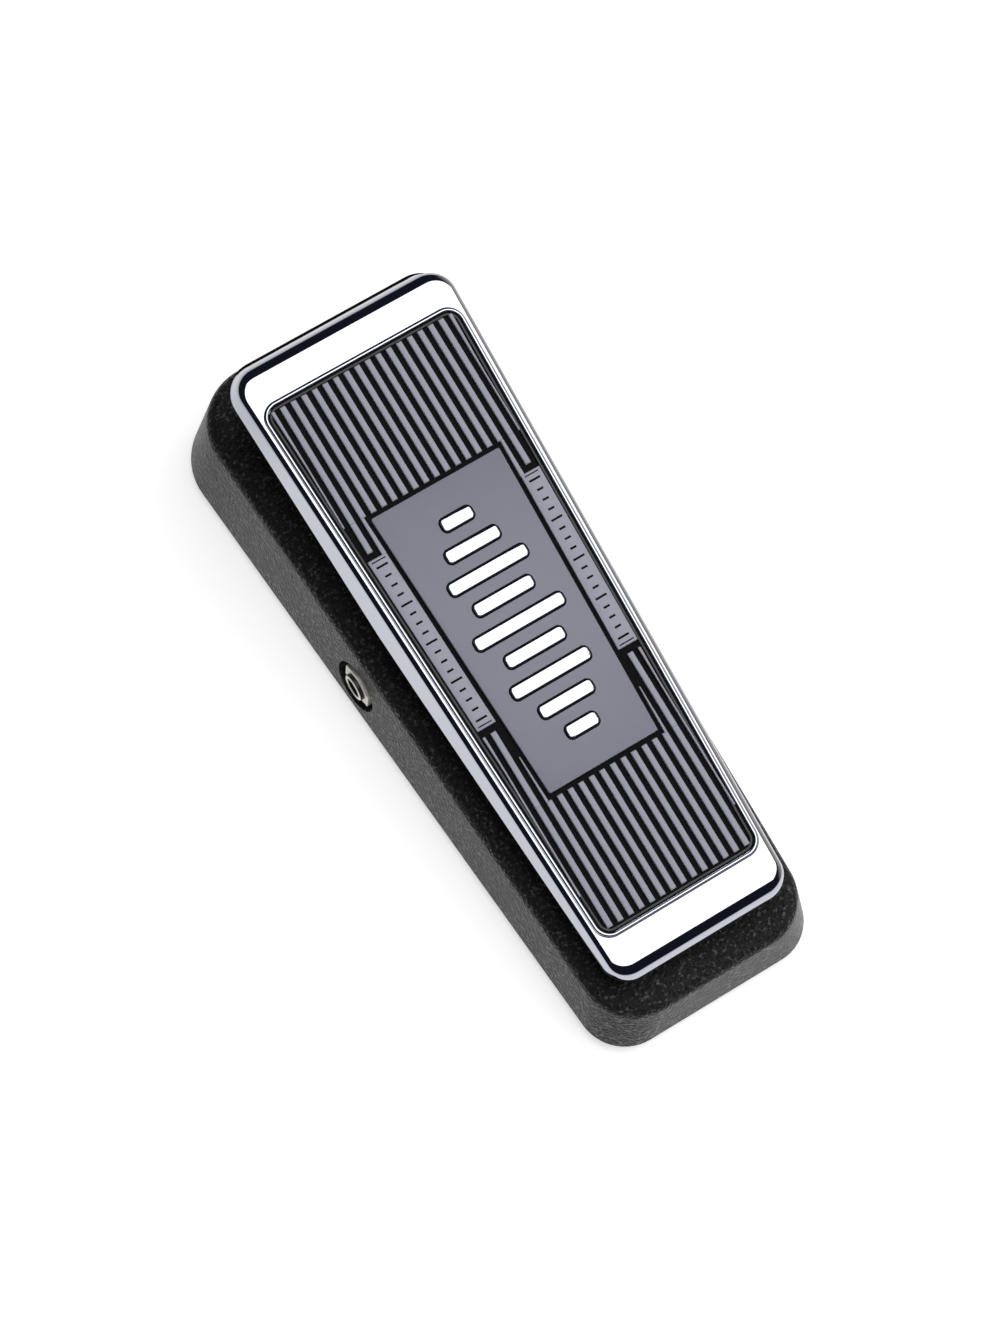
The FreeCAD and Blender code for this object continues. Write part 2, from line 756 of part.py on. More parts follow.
def axle_with_ends(axle):
    """The axle with a small chamfer on both ends."""
    ends = doc.addObject("Part::Chamfer", "axle")
    ends.Base = axle
    doc.recompute()
    rims = [i for i, e in enumerate(axle.Shape.Edges, start=1) if e.BoundBox.XLength < 0.01]
    ends.Edges = [(i, 0.5, 0.5) for i in rims]
    return ends


def make_bumpers():
    stops = [
        rod(name + "_stop", 6, STOP_POST_Z - 1.2 - STOP_SEAT_Z, (14 * side, STOP_Y, STOP_SEAT_Z + 0.05))
        for name, side in SIDES
    ]
    node(group("stop_group", stops), "heel_bumpers")
    toe_pad = rod("toe_pad", 8, 2.8, (0, 89.4, "-treadle_top - 2.85"))
    node(group("toe_pad_group", [toe_pad]), "toe_bumper", TREADLE_FRAME)


# ---------------------------------------------------------------- rack, pinion and potentiometer


def involute(base_radius, radius, start):
    """Point of an involute at a given radius; start is the angle at which it leaves the base circle."""
    roll = math.sqrt(max((radius / base_radius) ** 2 - 1, 0))
    angle = start + roll - math.atan(roll)
    return radius * math.cos(angle), radius * math.sin(angle)


def pinion_points():
    """Outline of the pinion in its own plane, one tooth centred on the first axis."""
    pressure = math.radians(value("pressure_angle"))
    base = PITCH_RADIUS * math.cos(pressure)
    tip = PITCH_RADIUS + value("addendum")
    root = PITCH_RADIUS - value("dedendum")
    teeth = int(value("gear_teeth"))
    half_tooth = (math.pi * value("gear_module") / 2 - value("backlash")) / 2 / PITCH_RADIUS
    flank_start = -(half_tooth + math.tan(pressure) - pressure)
    radii = [base + (tip - base) * step / 3 for step in range(4)]
    lower = [involute(base, radius, flank_start) for radius in radii]
    root_angle = math.atan2(lower[0][1], lower[0][0])
    lower.insert(0, (root * math.cos(root_angle), root * math.sin(root_angle)))
    tooth = lower + [(a, -b) for a, b in reversed(lower)]
    points = []
    for i in range(teeth):
        turn = 2 * math.pi * i / teeth
        for a, b in tooth:
            points.append((a * math.cos(turn) - b * math.sin(turn), a * math.sin(turn) + b * math.cos(turn)))
    return points


def make_pinion():
    body = body_named("pinion_body")
    sketch = sketch_on(body, "pinion_outline", "YZ_Plane", lift="-gear_half_width")
    # A tooth of the pinion points straight at the rack, which lies on its heel side.
    polygon(sketch, [(GEAR_Y - a, GEAR_Z - b) for a, b in pinion_points()])
    pad(body, sketch, "pinion_teeth", "2 * gear_half_width")
    add_rod(body, "pinion_hub", 4.4, 1.7, ("gear_half_width", GEAR_Y, GEAR_Z), "x")
    drill(body, "pinion_bore", 3.02, 16, (-6, GEAR_Y, GEAR_Z), "x")
    node(body, "pinion_gear")

    stub = rod("shaft_stub", 3.0, 20, (-4.5, GEAR_Y, GEAR_Z), "x")
    disc = rod("wiper_disc", 6.5, 1.2, (12.6, GEAR_Y, GEAR_Z), "x")
    node(fuse("pot_shaft", [stub, disc]), "potentiometer_shaft")


def make_potentiometer():
    can = rod("pot_can", 11, 9.5, (8.75, GEAR_Y, GEAR_Z), "x")
    bush = rod("pot_bush", 4.6, 3.25, (5.55, GEAR_Y, GEAR_Z), "x")
    terminals = [
        block(f"pot_tag{i}", (10.5, GEAR_Y - 1 + 5 * i, GEAR_Z - 13.4), (11.1, GEAR_Y + 1 + 5 * i, GEAR_Z - 8))
        for i in (-1, 0, 1)
    ]
    chamber = rod("pot_chamber", 9.5, 5.4, (10.9, GEAR_Y, GEAR_Z), "x")
    bore = rod("pot_bore", "3.0 + running_gap", 12, (0, GEAR_Y, GEAR_Z), "x")
    blank = fuse("pot_blank", [can, bush] + terminals)
    node(cut("pot_cut", blank, [chamber, bore]), "potentiometer_body")

    ring = doc.addObject("Part::Prism", "pot_nut_blank")
    ring.Polygon = 6
    ring.Circumradius = 6.4
    ring.Height = 1.6
    axis, angle = AXIS_TURNS["x"]
    place(ring, 5.55, GEAR_Y, GEAR_Z, axis, angle)
    hole = rod("pot_nut_hole", 4.62, 4, (5, GEAR_Y, GEAR_Z), "x")
    node(cut("pot_nut", ring, [hole]), "potentiometer_nut")


def pan_screw(name, x, y, under, length=6.0):
    """A small screw driven upwards, its head below the face at the height under."""
    head = rod(name + "_head", 2.6, 1.6, (x, y, under - 1.65))
    shank = rod(name + "_shank", 1.25, length, (x, y, under - 0.1))
    return fuse(name, [head, shank])


def make_bracket():
    corner = (8.7, GEAR_Y + 14, BRACKET_TOP)
    upright = block("bracket_upright", (7.2, GEAR_Y - 13, 8), corner)
    flange = block("bracket_flange", (-12.5, GEAR_Y - 0.5, BRACKET_TOP - 1.5), corner)
    bush_hole = rod("bracket_bush_hole", 4.7, 6, (5, GEAR_Y, GEAR_Z), "x")
    holes = [
        rod(f"bracket_hole{i}", 1.6, 6, (x, y, BRACKET_TOP - 4)) for i, (x, y) in enumerate(BRACKET_SPOTS)
    ]
    node(cut("bracket", fuse("bracket_blank", [upright, flange]), [bush_hole] + holes), "pot_bracket")

    node(
        group("bracket_screw_group", [
            pan_screw(f"bracket_screw{i}", x, y, BRACKET_TOP - 1.5, 4.5)
            for i, (x, y) in enumerate(BRACKET_SPOTS)
        ]),
        "bracket_screws",
    )

    back = RACK_PITCH_Y - value("rack_back") - value("rack_gap")
    wall = block("guide_wall", (-6.2, back - 3, 13), (6.2, back, GUIDE_TOP))
    cheeks = [
        block(f"guide_cheek{side}", (min(3.8 * side, 6.2 * side), back - 1, 13),
              (max(3.8 * side, 6.2 * side), back + 2.6, GUIDE_TOP))
        for side in (-1, 1)
    ]
    foot = block("guide_foot", (-6.2, 20.5, GUIDE_TOP - 2), (6.2, back - 2, GUIDE_TOP))
    hole = rod("guide_hole", 1.6, 6, (*GUIDE_SPOT, GUIDE_TOP - 4))
    node(cut("guide", fuse("guide_blank", [wall, foot] + cheeks), [hole]), "rack_guide")
    node(pan_screw("guide_screw", *GUIDE_SPOT, GUIDE_TOP - 2), "rack_guide_screw")

    node(
        group("board_screw_group", [
            pan_screw(f"board_screw{i}", x, y, BOARD_TOP - 1.6, 5.5)
            for i, (x, y) in enumerate(BOARD_SPOTS)
        ]),
        "board_screws",
    )


def make_rack():
    """Toothed bar that hangs from the treadle's pin and turns the pinion."""
    pitch = math.pi * value("gear_module")
    tip = RACK_PITCH_Y + value("addendum")
    root = RACK_PITCH_Y - value("dedendum")
    back = RACK_PITCH_Y - value("rack_back")
    lean = math.tan(math.radians(value("pressure_angle")))
    half = (pitch / 2 - value("backlash")) / 2
    bottom = GEAR_Z - 1.75 * pitch
    points = [(back, bottom), (root, bottom)]
    for i in range(7):
        middle = GEAR_Z + (i - 1.5) * pitch
        points += [
            (root, middle - half - (RACK_PITCH_Y - root) * lean),
            (tip, middle - half + (tip - RACK_PITCH_Y) * lean),
            (tip, middle + half - (tip - RACK_PITCH_Y) * lean),
            (root, middle + half + (RACK_PITCH_Y - root) * lean),
        ]
    points += [(root, PIN_Z - 3), (back, PIN_Z - 3)]
    body = body_named("rack_body")
    sketch = sketch_on(body, "rack_outline", "YZ_Plane", lift="-gear_half_width")
    polygon(sketch, points)
    pad(body, sketch, "rack_bar", "2 * gear_half_width")
    add_rod(body, "rack_eye", 4.2, "2 * gear_half_width", ("-gear_half_width", PIN_Y, PIN_Z), "x")
    # The eye is a slot across the rack: the open pivot that lets the pin swing a little.
    for name, shift in (("near", -0.25), ("far", 0.55)):
        drill(body, f"eye_{name}", "pin_radius + 0.1", 12, (-6, PIN_Y + shift, PIN_Z), "x")
    carve(
        body,
        "eye_middle",
        (-6, PIN_Y - 0.25, f"{PIN_Z} - pin_radius - 0.1"),
        (6, PIN_Y + 0.55, f"{PIN_Z} + pin_radius + 0.1"),
    )
    node(body, "rack")

    pin = rod("pin_rod", "pin_radius", 18, (-9, PIN_LOCAL.y, PIN_LOCAL.z), "x")
    node(group("pin_group", [pin]), "rack_pin", TREADLE_FRAME)
    clips = []
    for name, side in SIDES:
        start = min(7.2 * side, 7.9 * side)
        ring = rod(name + "_clip_ring", 3.0, 0.7, (start, PIN_LOCAL.y, PIN_LOCAL.z), "x")
        bore = rod(name + "_clip_bore", "pin_radius + 0.02", 3, (start - 1, PIN_LOCAL.y, PIN_LOCAL.z), "x")
        mouth = block(
            name + "_clip_mouth",
            (start - 1, PIN_LOCAL.y, PIN_LOCAL.z - 0.9),
            (start + 2, PIN_LOCAL.y + 5, PIN_LOCAL.z + 0.9),
        )
        clips.append(cut(name + "_clip", ring, [bore, mouth]))
    node(group("clip_group", clips), "rack_pin_clips", TREADLE_FRAME)


# ---------------------------------------------------------------- footswitch


def make_footswitch():
    y = value("switch_y")
    case = block("switch_case", (-8.5, y - 9, 19), (8.5, y + 9, "switch_under_z - 0.1"))
    bush = rod("switch_bush", "switch_bush_radius", "switch_seat_z + 4 - 30", (0, y, 30))
    tags = [
        block(f"switch_tag{i}{j}", (4.5 * i - 1, y + 5 * j - 0.4, 14.5), (4.5 * i + 1, y + 5 * j + 0.4, 19.5))
        for i in (-1, 0, 1)
        for j in (-1, 0, 1)
    ]
    bore = rod("switch_bore", "plunger_radius + running_gap", 30, (0, y, 25))
    node(cut("switch_cut", fuse("switch_blank", [case, bush] + tags), [bore]), "footswitch_body")

    washer = rod("switch_washer_disc", 9, 0.6, (0, y, "switch_seat_z + 0.03"))
    hole = rod("switch_washer_hole", "switch_bush_radius + 0.1", 3, (0, y, "switch_seat_z - 1"))
    node(cut("switch_washer", washer, [hole]), "footswitch_washer")

    nut = doc.addObject("Part::Prism", "switch_nut_blank")
    nut.Polygon = 6
    nut.Circumradius = 8.1
    nut.Height = 2.6
    place(nut, 0, y, "switch_seat_z + 0.66")
    thread = rod("switch_nut_hole", "switch_bush_radius + 0.03", 8, (0, y, "switch_seat_z - 1"))
    node(cut("switch_nut", nut, [thread]), "footswitch_nut")

    stem = rod("plunger_stem", "plunger_radius", "plunger_top_z - 33", (0, y, 33))
    doc.recompute()
    domed = doc.addObject("Part::Fillet", "plunger_domed")
    domed.Base = stem
    top = value("plunger_top_z")
    rim = [i for i, e in enumerate(stem.Shape.Edges, start=1) if e.BoundBox.ZMin > top - 0.01]
    domed.Edges = [(i, 1.2, 1.2) for i in rim]
    node(domed, "footswitch_plunger")


# ---------------------------------------------------------------- jacks


def make_jack(name, side):
    """Quarter-inch jack: plastic case inside, threaded bush through the wall, washer and hex nut."""
    y, z = value("jack_y"), value("jack_z")
    case_x = from_side(side, 15.5, "jack_inner_x - 0.1")
    case = block(name + "_case", (case_x[0], y - 9, z - 8), (case_x[1], y + 9, z + 8))
    bush_x = from_side(side, "jack_inner_x - 2", "jack_seat_x + 4.2")
    bush_length = "jack_seat_x - jack_inner_x + 6.2"
    bush = rod(name + "_thread", "jack_bush_radius", bush_length, (bush_x[0], y, z), "x")
    tags = [
        block(
            f"{name}_tag{i}",
            (from_side(side, 12, 16)[0], y + 5 * i - 1, z + 4),
            (from_side(side, 12, 16)[1], y + 5 * i + 1, z + 4.5),
        )
        for i in (-1, 1)
    ]
    bore_x = from_side(side, 17.5, 60)
    bore = rod(name + "_bore", "jack_bore", 42.5, (bore_x[0], y, z), "x")
    node(cut(name + "_cut", fuse(name + "_blank", [case, bush] + tags), [bore]), name)

    seat = from_side(side, "jack_seat_x + 0.03", "jack_seat_x + 0.53")[0]
    disc = rod(name + "_washer_disc", 7.4, 0.5, (seat, y, z), "x")
    hole_x = from_side(side, 40, 46)[0]
    hole = rod(name + "_washer_hole", "jack_bush_radius + 0.05", 6, (hole_x, y, z), "x")
    node(cut(name + "_washer_cut", disc, [hole]), name + "_washer")

    nut = doc.addObject("Part::Prism", name + "_nut_blank")
    nut.Polygon = 6
    nut.Circumradius = 7.6
    nut.Height = 2.4
    axis, angle = AXIS_TURNS["x"]
    place(nut, from_side(side, "jack_seat_x + 0.58", "jack_seat_x + 2.98")[0], y, z, axis, angle)
    thread_x = from_side(side, 38, 50)[0]
    thread = rod(name + "_nut_hole", "jack_bush_radius + 0.03", 12, (thread_x, y, z), "x")
    node(cut(name + "_nut_cut", nut, [thread]), name + "_nut")


def make_power_jack():
    y, z = value("power_y"), value("power_z")
    case = block("power_case", (27, y - 7, z - 6), ("power_seat_x - 3.6", y + 7, z + 6))
    barrel = rod("power_barrel", 5.5, 9, ("power_seat_x - 6", y, z), "x")
    bore = rod("power_bore", 2.75, 20, ("power_seat_x - 7", y, z), "x")
    pin = rod("power_pin", 1.0, 9.5, ("power_seat_x - 8", y, z), "x")
    socket = cut("power_socket", fuse("power_blank", [case, barrel]), [bore])
    node(fuse("power_with_pin", [socket, pin]), "power_jack")
    ring = rod("power_nut_ring", 6.9, 2.0, ("power_seat_x + 0.05", y, z), "x")
    hole = rod("power_nut_hole", 5.53, 6, ("power_seat_x - 1", y, z), "x")
    node(cut("power_nut_cut", ring, [hole]), "power_jack_nut")


# ---------------------------------------------------------------- circuit and battery


# Each capacitor's x, y, radius and height.
CAPACITORS = [
    (4, -30, 3.2, 9.5),
    (12, -30, 3.2, 9.5),
    (20, -30, 2.5, 7.5),
    (-22, -28, 2.5, 7.5),
    (-3, -36, 2.5, 7.5),
]


def make_circuit():
    board = block("board_sheet", (-29, -44, BOARD_TOP - 1.55), (29, 4, BOARD_TOP))
    holes = [
        rod(f"board_hole{i}", 1.6, 6, (x, y, BOARD_TOP - 4)) for i, (x, y) in enumerate(BOARD_SPOTS)
    ]
    node(cut("board", board, holes), "circuit_board")
    under = BOARD_TOP - 1.6
    can = rod("inductor_can", 7.5, 9, (-12, -20, under - 9))
    core = rod("inductor_core", 2.2, 3, (-12, -20, under - 10))
    node(cut("inductor_cut", can, [core]), "inductor")
    node(
        group("capacitor_group", [
            rod(f"capacitor{i}", radius, height, (x, y, under - height))
            for i, (x, y, radius, height) in enumerate(CAPACITORS)
        ]),
        "electrolytic_capacitors",
    )
    node(
        group("film_group", [
            block(f"film{i}", (x - 4, y - 1.6, under - 7), (x + 4, y + 1.6, under))
            for i, (x, y) in enumerate([(3, -20), (3, -13), (16, -20), (16, -13)])
        ]),
        "film_capacitors",
    )
    transistors = []
    for i, (x, y) in enumerate([(-4, -4), (8, -4)]):
        case = rod(f"transistor_case{i}", 2.3, 4.6, (x, y, under - 6.5))
        flat = block(f"transistor_flat{i}", (x - 3, y + 1.4, under - 8), (x + 3, y + 4, under - 1))
        legs = [rod(f"leg{i}{n}", 0.3, 2.2, (x + 1.27 * n, y, under - 2.2)) for n in (-1, 0, 1)]
        transistors.append(fuse(f"transistor{i}", [cut(f"transistor_half{i}", case, [flat])] + legs))
    node(group("transistor_group", transistors), "transistors")
    node(
        group("resistor_group", [
            rod(f"resistor{i}", 1.2, 6.5, (-16 + 9 * (i % 4), -8 if i < 4 else -41, under - 1.4), "x")
            for i in range(7)
        ]),
        "resistors",
    )


def make_battery():
    low, top = 6.25, 23.7
    case = block("battery_case", (-13.2, -98, low), (13.2, -51.5, top))
    soft = doc.addObject("Part::Fillet", "battery_soft")
    soft.Base = case
    doc.recompute()
    lengthways = [i for i, e in enumerate(case.Shape.Edges, start=1) if e.BoundBox.YLength > 10]
    soft.Edges = [(i, 1.5, 1.5) for i in lengthways]
    posts = [rod(f"battery_post{side}", 3.2, 2.0, (6.35 * side, -51.6, 15), "y") for side in (-1, 1)]
    node(fuse("battery_whole", [soft] + posts), "battery")
    cap = block("snap_cap", (-12.8, -49.4, 9), (12.8, -46.4, 21))
    studs = [rod(f"snap_cup{side}", 4.2, 2.1, (6.35 * side, -51.4, 15), "y") for side in (-1, 1)]
    sockets = [rod(f"snap_socket{side}", 3.25, 2.2, (6.35 * side, -51.55, 15), "y") for side in (-1, 1)]
    node(cut("snap", fuse("snap_blank", [cap] + studs), sockets), "battery_snap")


make_housing()
make_bottom_plate()
make_feet()
make_treadle()
make_tread()
make_badge()
make_hinge()
make_bumpers()
make_pinion()
make_potentiometer()
make_bracket()
make_rack()
make_footswitch()
make_jack("output_jack", -1)
make_jack("input_jack", 1)
make_power_jack()
make_circuit()
make_battery()
doc.recompute()

for thing in doc.Objects:
    if "Invalid" in thing.State or "Error" in thing.State:
        raise RuntimeError(f"{thing.Name} failed: {thing.State}")
os.makedirs("parts", exist_ok=True)
for thing in NODES:
    if thing.Shape.isNull() or not thing.Shape.isValid():
        raise RuntimeError(thing.Label + " has no valid shape")
    thing.Shape.exportStep(f"parts/{thing.Label}.step")
print(len(NODES), "nodes")
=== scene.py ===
"""Looks of a rocker effects pedal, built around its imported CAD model."""
import json
import math
from functools import partial

import bpy
import bmesh
from mathutils import Euler, Matrix, Vector


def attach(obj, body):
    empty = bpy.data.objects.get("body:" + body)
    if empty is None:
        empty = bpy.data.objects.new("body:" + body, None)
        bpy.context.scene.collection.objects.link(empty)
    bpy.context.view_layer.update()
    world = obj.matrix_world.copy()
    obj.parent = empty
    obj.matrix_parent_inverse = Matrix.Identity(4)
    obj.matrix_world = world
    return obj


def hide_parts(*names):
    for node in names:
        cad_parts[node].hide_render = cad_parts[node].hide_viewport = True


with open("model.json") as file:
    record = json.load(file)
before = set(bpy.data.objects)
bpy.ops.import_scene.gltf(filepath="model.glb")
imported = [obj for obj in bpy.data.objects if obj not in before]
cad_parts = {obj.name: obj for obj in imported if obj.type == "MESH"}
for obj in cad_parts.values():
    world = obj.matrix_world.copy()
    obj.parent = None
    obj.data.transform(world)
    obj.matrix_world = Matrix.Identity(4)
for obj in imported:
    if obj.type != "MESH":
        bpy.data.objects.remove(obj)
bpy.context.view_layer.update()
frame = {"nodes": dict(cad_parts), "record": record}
NODES = frame["nodes"]
MM = 0.001

# ---------------------------------------------------------------- sizes, in millimetres

# The treadle's own frame: x across it, u along it towards the toe, w out of its top face.
TILT = 9.86
TREADLE_HEIGHT = 62.5
TREADLE_FRAME = Matrix.Translation((0, 0, TREADLE_HEIGHT * MM)) @ Matrix.Rotation(math.radians(TILT), 4, "X")

# Trapezoids: half width and reach at the toe, then half width and reach at the heel.
TREADLE = (39.1, 106.6, 31.4, 115.9)
PAD = (34.9, 91.85, 28.3, 100.5)
PLATE = (23.35, 46.2, 19.8, 54.4)

# Treadle: its rim, and the skirt that hangs from it.
TREADLE_CORNER = 8.0
SIDE_ROUND = 2.3
TOE_ROUND = 5.2
HEEL_ROUND = 6.0
ROUND_STEPS = 12
TOE_SET_BACK = 1.1
TOE_FLARE = 5.2
SKIRT_FLARE = 1.3
SKIRT_DEPTH = 16.0
SKIRT_DEEPEST_U, SKIRT_DEEPEST_W = 10, -15
SKIRT_RISE_TO_TOE = (4, 102)  # rise and run of the lower edge
SKIRT_RISE_TO_HEEL = (8.4, 130)
WALL_START = -5.6
WALL_LINES = (0.1, 0.55)
WALL = 2.6
TOP_THICKNESS = 3.2
TOE_LIP = 0.5
LIP_HEIGHT = 0.5
# The bead round the tread: how far outside the pad's edge each line of it is, and its height.
BEAD = (
    (0, 0.42), (0.10, 0.62), (0.28, 0.75), (0.52, 0.80), (0.78, 0.77),
    (1.0, 0.66), (1.18, 0.46), (1.30, 0.22), (1.38, 0.06), (1.45, 0),
)

# Below the treadle: hinge arms, ears for the rack's pin and heel posts.
ROOT_W = -TOP_THICKNESS + 0.5
PIVOT = (3.0, -12.7)
ARM_X, ARM_RADIUS = (25.5, 33.6), 6.5
PIN = (32.63, -13.3)
EAR_X, EAR_RADIUS = (4.0, 7.0), 4.0
TAB_EDGE, TAB_STEPS = 0.4, 16
POST_X, POST_U, POST_FOOT_W = 14.0, -100, -8
POST_RADIUS, POST_CHAMFER, POST_SIDES = 5, 0.5, 32

# Tread: ribs along the pad, left out where the badge and the side strips are.
PAD_CORNER = 4.5
PAD_RECESS = 1.2
BORDER = 1.9
RIB_PITCH = 3.845
RIB_WIDTH = 1.95
RIB_BASE = -0.2
RIB_TOP = 1.0
RIB_SOFT = 0.28
RIB_STEPS = 28
LEAST_WIDTH = 0.35
LAST_RIB = 8  # ribs are counted from 0 to the right of the middle, and from -1 to the left
TOE_RIBS = (47.7, 90.3)
HEEL_RIBS = (-98.5, -56.0)
RIB_LAP = 0.25
PLATE_GAP = 1.45
STOP_TOE, STOP_HEEL = 37.2, -29.3  # where ribs beside the badge stop short of the side strips
TOE_SLIVER, HEEL_SLIVER = 0.55, 0.6
SLIVER_RUN, SLIVER_TOP = (-86, -29.3), RIB_TOP - 0.05
# The sheet under the ribs: how far inside the pad's edge each line of its rim is, its height, and
# whether it is grey (1) or black (0).
SHEET_RIM = (
    (0.1, -PAD_RECESS + 0.03, 0), (0.1, 0.2, 0), (0.45, 0.2, 0), (0.6, 0.42, 1),
    (0.75, 0.46, 1), (1.2, 0.46, 1), (1.32, 0.3, 0), (1.42, RIB_BASE + 0.02, 0),
)

# Side strips: low and high x at the toe end, then at the heel end. Marks lie across them.
STRIPS = {"left": ((-31.2, -24.5), (-29.1, -22.5)), "right": ((24.6, 31.3), (22.3, 29.3))}
STRIP_TOE, STRIP_HEEL = 35.0, -27.0
STRIP_SOFT = 0.2
STRIP_LAP = 0.3
MARK_COUNT, MARKS_PER_LONG_ONE = 17, 4
MARK_MARGIN = 3
LONG_REACH, SHORT_REACH = 2.0, 1.1
MARK_HALF = 0.35
END_LINE_MARGIN, END_LINE_SIDE, END_LINE_HALF = 1.0, 0.9, 0.2
MARK_BASE, MARK_TOP, MARK_SOFT = RIB_TOP - 0.05, RIB_TOP + 0.04, 0.03

# Badge: a plate with raised bars. A profile's lines have a growth and a height.
PLATE_FACE = RIB_TOP + 0.2
PLATE_CORNER = 0.6
PLATE_PROFILE = (
    (0, RIB_BASE + 0.05), (0, PLATE_FACE - 0.25), (-0.08, PLATE_FACE - 0.08), (-0.28, PLATE_FACE),
)
BAR_LENGTHS = (11, 19, 28, 21, 32, 21, 28, 19, 11)
BAR_MIDDLE, BAR_PITCH, BAR_HALF_WIDTH = -4.1, 9.3, 2.2
BAR_CORNER = 1.4
BAR_PROFILE = (
    (0, PLATE_FACE - 0.05), (0, PLATE_FACE + 0.45),
    (-0.12, PLATE_FACE + 0.72), (-0.42, PLATE_FACE + 0.86),
)
OUTLINE_CORNER = 1.6
OUTLINE_PROFILE = ((0.55, PLATE_FACE - 0.1), (0.55, PLATE_FACE + 0.03), (0.4, PLATE_FACE + 0.06))

# Jack bushes: how far past the bush's end each line of its bright face is, and its radius.
JACK_Y, JACK_Z = 17.0, 16.2
BUSH_END = 45.4
BUSH_FACE = ((-0.02, 3.45), (0.16, 3.45), (0.30, 3.62), (0.30, 4.25), (0.12, 4.5), (-0.02, 4.5))
BUSH_SIDES = 48

# Meshes
ARC_STEPS = 12
RUN_STEPS = 10
LEAST_RADIUS = 0.3
SMOOTH_BELOW = math.radians(35.0)

# ---------------------------------------------------------------- material helpers


def new_material(name):
    material = bpy.data.materials.new(name)
    material.use_nodes = True
    return material, material.node_tree, material.node_tree.nodes["Principled BSDF"]


def feed(tree, socket, source):
    """Link a socket to another node's output, or give it a fixed value."""
    if isinstance(source, bpy.types.NodeSocket):
        tree.links.new(source, socket)
    else:
        socket.default_value = source


def noise(tree, place, scale, detail):
    """Noise in the object's own space."""
    node = tree.nodes.new("ShaderNodeTexNoise")
    node.inputs["Scale"].default_value = scale
    node.inputs["Detail"].default_value = detail
    tree.links.new(place.outputs["Object"], node.inputs["Vector"])
    return node.outputs["Fac"]


def spread(tree, source, from_range, to_range=(0.0, 1.0)):
    """A number moved from one range to another, and held inside it."""
    node = tree.nodes.new("ShaderNodeMapRange")
    node.inputs["From Min"].default_value, node.inputs["From Max"].default_value = from_range
    node.inputs["To Min"].default_value, node.inputs["To Max"].default_value = to_range
    tree.links.new(source, node.inputs["Value"])
    return node.outputs["Result"]


def mix(tree, kind, share, first, second):
    """A blend of two numbers (FLOAT) or two colours (RGBA)."""
    node = tree.nodes.new("ShaderNodeMix")
    node.data_type = kind
    first_socket, second_socket, result = {"FLOAT": (2, 3, 0), "RGBA": (6, 7, 2)}[kind]
    feed(tree, node.inputs[0], share)
    feed(tree, node.inputs[first_socket], first)
    feed(tree, node.inputs[second_socket], second)
    return node.outputs[result]


def raise_bumps(tree, shader, height, strength, distance):
    node = tree.nodes.new("ShaderNodeBump")
    node.inputs["Strength"].default_value = strength
    node.inputs["Distance"].default_value = distance
    tree.links.new(height, node.inputs["Height"])
    tree.links.new(node.outputs["Normal"], shader.inputs["Normal"])


# ---------------------------------------------------------------- materials

LEAST_ROUGH = 0.01
WARP_SHARE = 0.45
CREST_RANGE = (0.545, 0.70)
GLEAM_RANGE = (0.17, 1.0)


def plain(name, color, rough, metal=0.0, grain=0.0, bump=0.0):
    """A surface whose roughness wanders a little, with an optional fine bump."""
    material, tree, shader = new_material(name)
    shader.inputs["Base Color"].default_value = (*color, 1)
    shader.inputs["Metallic"].default_value = metal
    shader.inputs["Roughness"].default_value = rough
    place = tree.nodes.new("ShaderNodeTexCoord")
    if grain:
        rough_range = (max(rough - grain, LEAST_ROUGH), rough + grain)
        wander = spread(tree, noise(tree, place, scale=220.0, detail=6.0), (0, 1), rough_range)
        tree.links.new(wander, shader.inputs["Roughness"])
    if bump:
        fine = noise(tree, place, scale=900.0, detail=3.0)
        raise_bumps(tree, shader, fine, strength=bump, distance=0.0003)
    return material


def crinkle_paint():
    """Black wrinkle-finish paint: small rounded ridges, some with crests that catch the light."""
    material, tree, shader = new_material("crinkle_paint")
    shader.inputs["Roughness"].default_value = 0.28
    place = tree.nodes.new("ShaderNodeTexCoord")
    cells = tree.nodes.new("ShaderNodeTexVoronoi")
    cells.feature = "SMOOTH_F1"
    cells.inputs["Scale"].default_value = 1150.0
    tree.links.new(place.outputs["Object"], cells.inputs["Vector"])
    warp = noise(tree, place, scale=1500.0, detail=4.0)
    ridges = mix(tree, "FLOAT", WARP_SHARE, cells.outputs["Distance"], warp)
    raise_bumps(tree, shader, ridges, strength=1.0, distance=0.0009)
    tint = tree.nodes.new("ShaderNodeValToRGB")
    tint.color_ramp.elements[0].color = (0.004, 0.004, 0.005, 1)
    tint.color_ramp.elements[1].color = (0.022, 0.021, 0.024, 1)
    tree.links.new(warp, tint.inputs["Fac"])
    tree.links.new(tint.outputs["Color"], shader.inputs["Base Color"])
    crests = noise(tree, place, scale=820.0, detail=2.0)
    gleam = spread(tree, crests, CREST_RANGE, GLEAM_RANGE)
    tree.links.new(gleam, shader.inputs["Specular IOR Level"])
    return material


